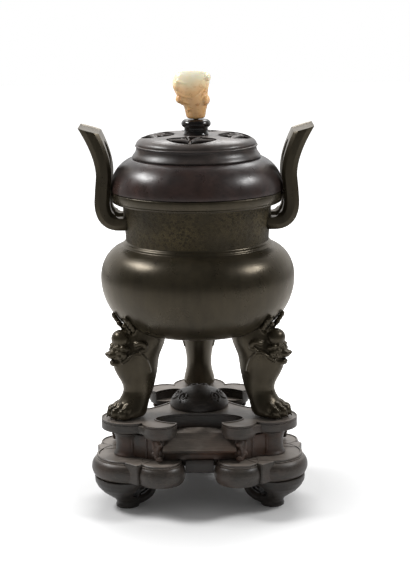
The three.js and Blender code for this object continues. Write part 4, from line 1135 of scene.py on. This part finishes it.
# %% Board
# The layers overlap by a tenth of a millimetre
board = board_layer(86.2, 87.3, 0, STEP_FROM)
lip = board_layer(87.2, 88, 0, STEP_FROM)
cut(lip, board_layer(86.9, 88.4, 1.3, STEP_FROM))
groove = board_layer(85.4, 86.3, 0.9, STEP_FROM)
band = board_layer(78.6, 85.5, 0, 86)
board = joined("board", board, lip, groove, band)

lobe_outline = [(0, WAIST_TOP), (15.5, WAIST_TOP), (18, 75.4), (LOBE - 5.4, 77.2), (LOBE - 2.4, 79.4)]
lobe_outline += [(LOBE - 0.6, 81.6), (LOBE - 0.1, 83), (0, 83)]
hook_outline = [(0, WAIST_TOP), (HOOK - 2.6, WAIST_TOP), (HOOK - 1.4, 74.6), (HOOK - 0.5, 76.2)]
hook_outline += [(HOOK - 0.1, 78.8), (0, 78.8)]
for base in LOBES.values():
    board = joined("board", board, settled(drum(LEG, 0, lobe_outline), turn=base))
    for mirror in (-1, 1):
        x, y = from_opening(HOOK_OUT, HOOK_SIDE, mirror)
        board = joined("board", board, settled(drum(x, y, hook_outline, 64), turn=base))

core = cut_out("core", [polar(56, a) for a in range(0, 360, 10)], WAIST_TOP, 78.7)
for base in OPENINGS.values():
    cut(core, opening_oval(0, 70, 90, base))
board = joined("stand_board", board, core)
modified(board, "TRIANGULATE", quad_method="BEAUTY", ngon_method="BEAUTY")
smooth(board, 32)
finished(board, "stand", "stand_wood", stand_wood, "stand_top_plate")

# %% [markdown]
# ## Boss
# A low dome with small scrolls sits in the middle of the board, under the bowl. It is turned, and each
# scroll is a coiled rib with a bead at its heart.

# %% Boss
def scroll(x, y, z, radius, thickness, tilt, turn, hand=1):
    """A coil of one and a half turns that lies on a slope."""
    points = []
    for i in range(15):
        angle = math.radians(36 * i)
        reach = radius * (1 - 0.055 * i)
        points.append((reach * math.cos(angle), hand * reach * math.sin(angle), 0))
    rib = cord_along(points, thickness, taper=0.7)
    heart = lump(0, 0, 0.2, radius * 0.3, radius * 0.3, thickness * 0.6, sides=12)
    coil = joined("coil", rib, heart)
    coil.rotation_euler = (0, math.radians(tilt), 0)
    settled(coil)
    return settled(settled(coil, x=x, y=y, z=z), turn=turn)


boss_outline = [(0, 88.1), (28.0, 88.1), (28.4, 89.0), (28.2, 90.4)]
boss_outline += arc(0, 90.4, 28.0, 15.9, 4, 88, 20) + [(0, 106.3)]
boss = turned("boss", boss_outline, 96)
coils = []
for base in OPENINGS.values():
    for hand in (-1, 1):
        coils.append(scroll(21.4, 0, 100.4, 6.0, 3.0, 44, base + hand * 44, hand))
boss = joined("stand_boss_dome", boss, *coils)
smooth(boss, 40)
finished(boss, "stand", "stand_wood", boss_wood, "stand_boss")

# %% [markdown]
# ## Waist
# Between the two boards the stand draws in. Under each paw is a hollow spool with straight walls beside it.
# Under each hooked opening a panel slopes outwards to a ledge, and leafy brackets stand under the hook
# ends.

# %% Spools and walls
def waist_wall():
    section = [(0, BASE_TOP), (15.4, BASE_TOP), (15.2, 53.4), (14.0, 54.6), (13.3, 57), (13.0, 61.6)]
    section += [(13.2, 66), (13.9, 70), (15.0, 72.6), (15.4, WAIST_TOP), (0, WAIST_TOP)]
    spool = drum(LEG, 0, section)
    points = [(81, 12), from_opening(66, 41.3, 1), from_opening(66, 33.3, 1), from_opening(42, 33.3, 1)]
    wall = cut_out("wall", points + [(x, -y) for x, y in reversed(points)], BASE_TOP, WAIST_TOP)
    softened(wall, 0.6, 2, 30)
    posts = []
    for mirror in (-1, 1):
        ends = list(zip((81, 12 * mirror), from_opening(66, 41.3, mirror)))
        for share in (0.02, 0.62, 0.98):
            x, y = [near + (far - near) * share for near, far in ends]
            posts.append(disc(x, y, 1.0, 53, 73.6, 12))
    return joined("waist_wall", spool, wall, *posts)


wall = smooth(waist_wall(), 35)
repeated(wall, LOBES, "waist_wall", "stand", "stand_wood", waist_wood, "waist_block")


# %% Panels
def sideways(name, outline, half_width):
    """A section of (x, z) points, drawn out to both sides along Y."""
    piece = cut_out(name, outline, -half_width, half_width)
    hold(piece)
    piece.matrix_world = Matrix(((1, 0, 0, 0), (0, 0, 1, 0), (0, 1, 0, 0), (0, 0, 0, 1)))
    write_place()
    bpy.ops.object.mode_set(mode="EDIT")
    return outwards(piece)


under_ledge = [(48, 52.6), (64.4, 52.6), (64.6, 55), (65.8, 58), (68.6, 60.6), (72.6, 62.0)]
ledge = [(75.8, 62.6), (76.4, 63.4), (76.0, 64.4), (74.4, 64.8)]
shares = [i / 12 for i in range(1, 13)]
slope = [(74.4 - 25.6 * t - 1.6 * math.sin(math.pi * t), 64.8 + 9.1 * t) for t in shares]
panel = smooth(sideways("panel", under_ledge + ledge + slope + [(48, 73.9)], 34.5), 30)
repeated(panel, OPENINGS, "waist_slope", "stand", "stand_wood", waist_wood, "waist_panel")


# %% Brackets
BRACKET_OUT = 67.2
BRACKET_SIDE = 39.5


def bracket(side):
    """A leafy bracket to one side of an opening."""
    def at(out, across, height):
        return BRACKET_OUT + out, side * BRACKET_SIDE + side * across, height

    stem = [at(3.4, 0.5, 73.2), at(5.4, -2.0, 69), at(3.8, 0.6, 64.5), at(5.4, 2.4, 59.5)]
    stem += [at(6.2, -1.0, 54.2)]
    leaf = [at(3.0, 3.6, 72.6), at(5.6, 3.2, 67.6), at(4.0, 3.4, 62.0)]
    parts = [
        lump(*at(1.6, 0, 63.2), 2.6, 4.4, 10.4),
        cord_along(stem, 5.2, taper=0.8),
        cord_along(leaf, 3.6, taper=0.5),
        lump(*at(5.8, -2.6, 69.4), 2.6, 2.8, 2.7),
        lump(*at(6.4, -1.8, 55.6), 2.8, 3.4, 2.8),
        lump(*at(4.4, 3.4, 60.4), 2.3, 2.4, 2.4),
    ]
    piece = fused("bracket", 0.6, 2, *parts)
    return smooth(cut(piece, slab(60, 80, 40, 52.6)), 50)


for suffix, side in (("a", -1), ("b", 1)):
    places = {place + "_" + suffix: turn for place, turn in OPENINGS.items()}
    repeated(bracket(side), places, "scroll_bracket", "stand", "stand_wood", waist_wood, "bracket")

# %% [markdown]
# ## Base
# The base repeats the plan of the top board with swelling sides. Each corner is a large drum under the paw,
# with a smaller rimmed drum on either side that ends the lower hooks. Between the corners a plain wall
# stands back.

# %% Corners of the base
BASE_LOW = 31.0
BASE_HOOK = 23.4
BASE_HOOK_OUT = 67
BASE_HOOK_SIDE = 36.8
BASE_RING = 62.3


def bulge(radius, swell, rim):
    """Outline of a swelling drum with a bead and a sunk top, as wide as its radius at the fullest height."""
    side = arc(radius - swell, 40.4, swell, 9.9, -68, 62, 16)
    low_r, top_r = side[0][0], side[-1][0]
    foot = [(0, BASE_LOW), (low_r - 1.6, BASE_LOW), (low_r - 0.5, 31.2)]
    bead = [(top_r - 0.2, 49.9), (top_r - 0.9, 50.2), (top_r - 0.6, 50.9), (top_r - 0.7, 51.9)]
    lip = [(top_r - 1.4, BASE_TOP), (top_r - rim, BASE_TOP), (top_r - rim - 0.5, 51.7), (0, 51.7)]
    return foot + side + bead + lip


def corner():
    main = drum(LEG, 0, bulge(36.5, 8, 2.8), 128)
    strip = [(40, -8.6), (98.7, -8.6), (99.4, -7.4), (99.4, 7.4), (98.7, 8.6), (40, 8.6)]
    for mirror in (-1, 1):
        x, y = from_opening(BASE_HOOK_OUT, BASE_HOOK_SIDE, mirror)
        added(main, drum(x, y, bulge(BASE_HOOK, 6, 2.2)))
        link = cut_out("link", strip, 32.6, 52.2)
        softened(link, 1.6, 3, 50)
        added(main, settled(link, turn=mirror * TAB_ANGLE))
    cut(main, disc(0, 0, BASE_RING, 25, 60, 160))
    return main


base_corner = smooth(corner(), 32)
repeated(base_corner, LOBES, "base_corner", "stand", "stand_wood", stand_wood, "apron")


# %% Walls between the corners
def skirt():
    section = [(BASE_RING, 39.4), (64.4, 39.4), (64.9, 40), (64.6, 43), (64.9, 47), (66.2, 50.8)]
    section += [(67.4, BASE_TOP), (BASE_RING, BASE_TOP)]
    wall = sideways("skirt", section, 27.5)
    for side in (-1, 1):
        cut(wall, disc(BASE_HOOK_OUT, side * BASE_HOOK_SIDE, 23.7, 25, 60))
    return smooth(wall, 30)


# The low walls get the darker copy of the wood, painted shade for a wall that stands back
repeated(skirt(), OPENINGS, "low_wall", "stand", "stand_wood", shaded_stand_wood, "skirt_panel")
floor_outline = [(0, 44.6), (60.6, 44.6), (61.6, 45.2), (62, 46.4), (62, 51.2), (61.6, 52.1)]
floor_outline += [(60.6, 52.4), (0, 52.4)]
base_board = smooth(turned("base_floor", floor_outline, 128), 40)
finished(base_board, "stand", "stand_wood", stand_wood, "stand_base_board")

# %% [markdown]
# ## Scroll feet
# A foot swells out of the corner above it, narrows to an ankle and spreads into a small pad. A tail curls
# back inwards from the pad and meets the corner again, which leaves a dark eye and a small chink of light.

# %% Feet
def foot():
    body = lofted("foot", [
        (LEG + 3.4, 0, 0, 10.8, 11.2), (LEG + 3.4, 0, 2.2, 11.2, 11.6), (LEG + 3.2, 0, 4.4, 10.2, 10.8),
        (LEG + 4.0, 0, 8, 11.4, 11.6), (LEG + 6.4, 0, 12, 14.4, 14.6), (LEG + 8.8, 0, 16.5, 18.4, 19.0),
        (LEG + 9.4, 0, 21, 22.0, 23.6), (LEG + 8.8, 0, 26, 25.2, 27.4), (LEG + 7.4, 0, 30.9, 26.8, 29.8),
    ], 40)
    tail = [(LEG + 1, 5.4), (LEG - 8, 5.6), (LEG - 17, 8.6), (LEG - 22, 14.5), (LEG - 21, 20.5)]
    tail += [(LEG - 16, 23.4), (LEG - 12.4, 20.4)]
    ribs = [cord_along([(x, side, z) for x, z in tail], 9.0, taper=0.62) for side in (-5.6, 0, 5.6)]
    for side in (-1, 1):
        curl = [(LEG + 12, side * 14.0, 20), (LEG + 2, side * 15.2, 13.8), (LEG - 4, side * 11.6, 16)]
        curl += [(LEG - 4.6, side * 13, 21), (LEG + 1, side * 16.4, 23.6)]
        ribs.append(cord_along(curl, 3.2))
    piece = fused("foot", 0.75, 3, body, *ribs)
    eye = disc(0, 0, 6.4, -45, 45, 32)
    eye.rotation_euler = (math.radians(90), 0, 0)
    settled(eye)
    cut(piece, settled(eye, x=LEG + 1, z=17.6))
    for low, high in ((31, 60), (-20, 0)):
        cut(piece, slab(20, 140, low, high))
    return smooth(piece, 50)


# The feet get the darker copy of the wood, painted shade
repeated(foot(), LOBES, "curled_foot", "stand", "stand_wood", shaded_stand_wood, "scroll_foot")
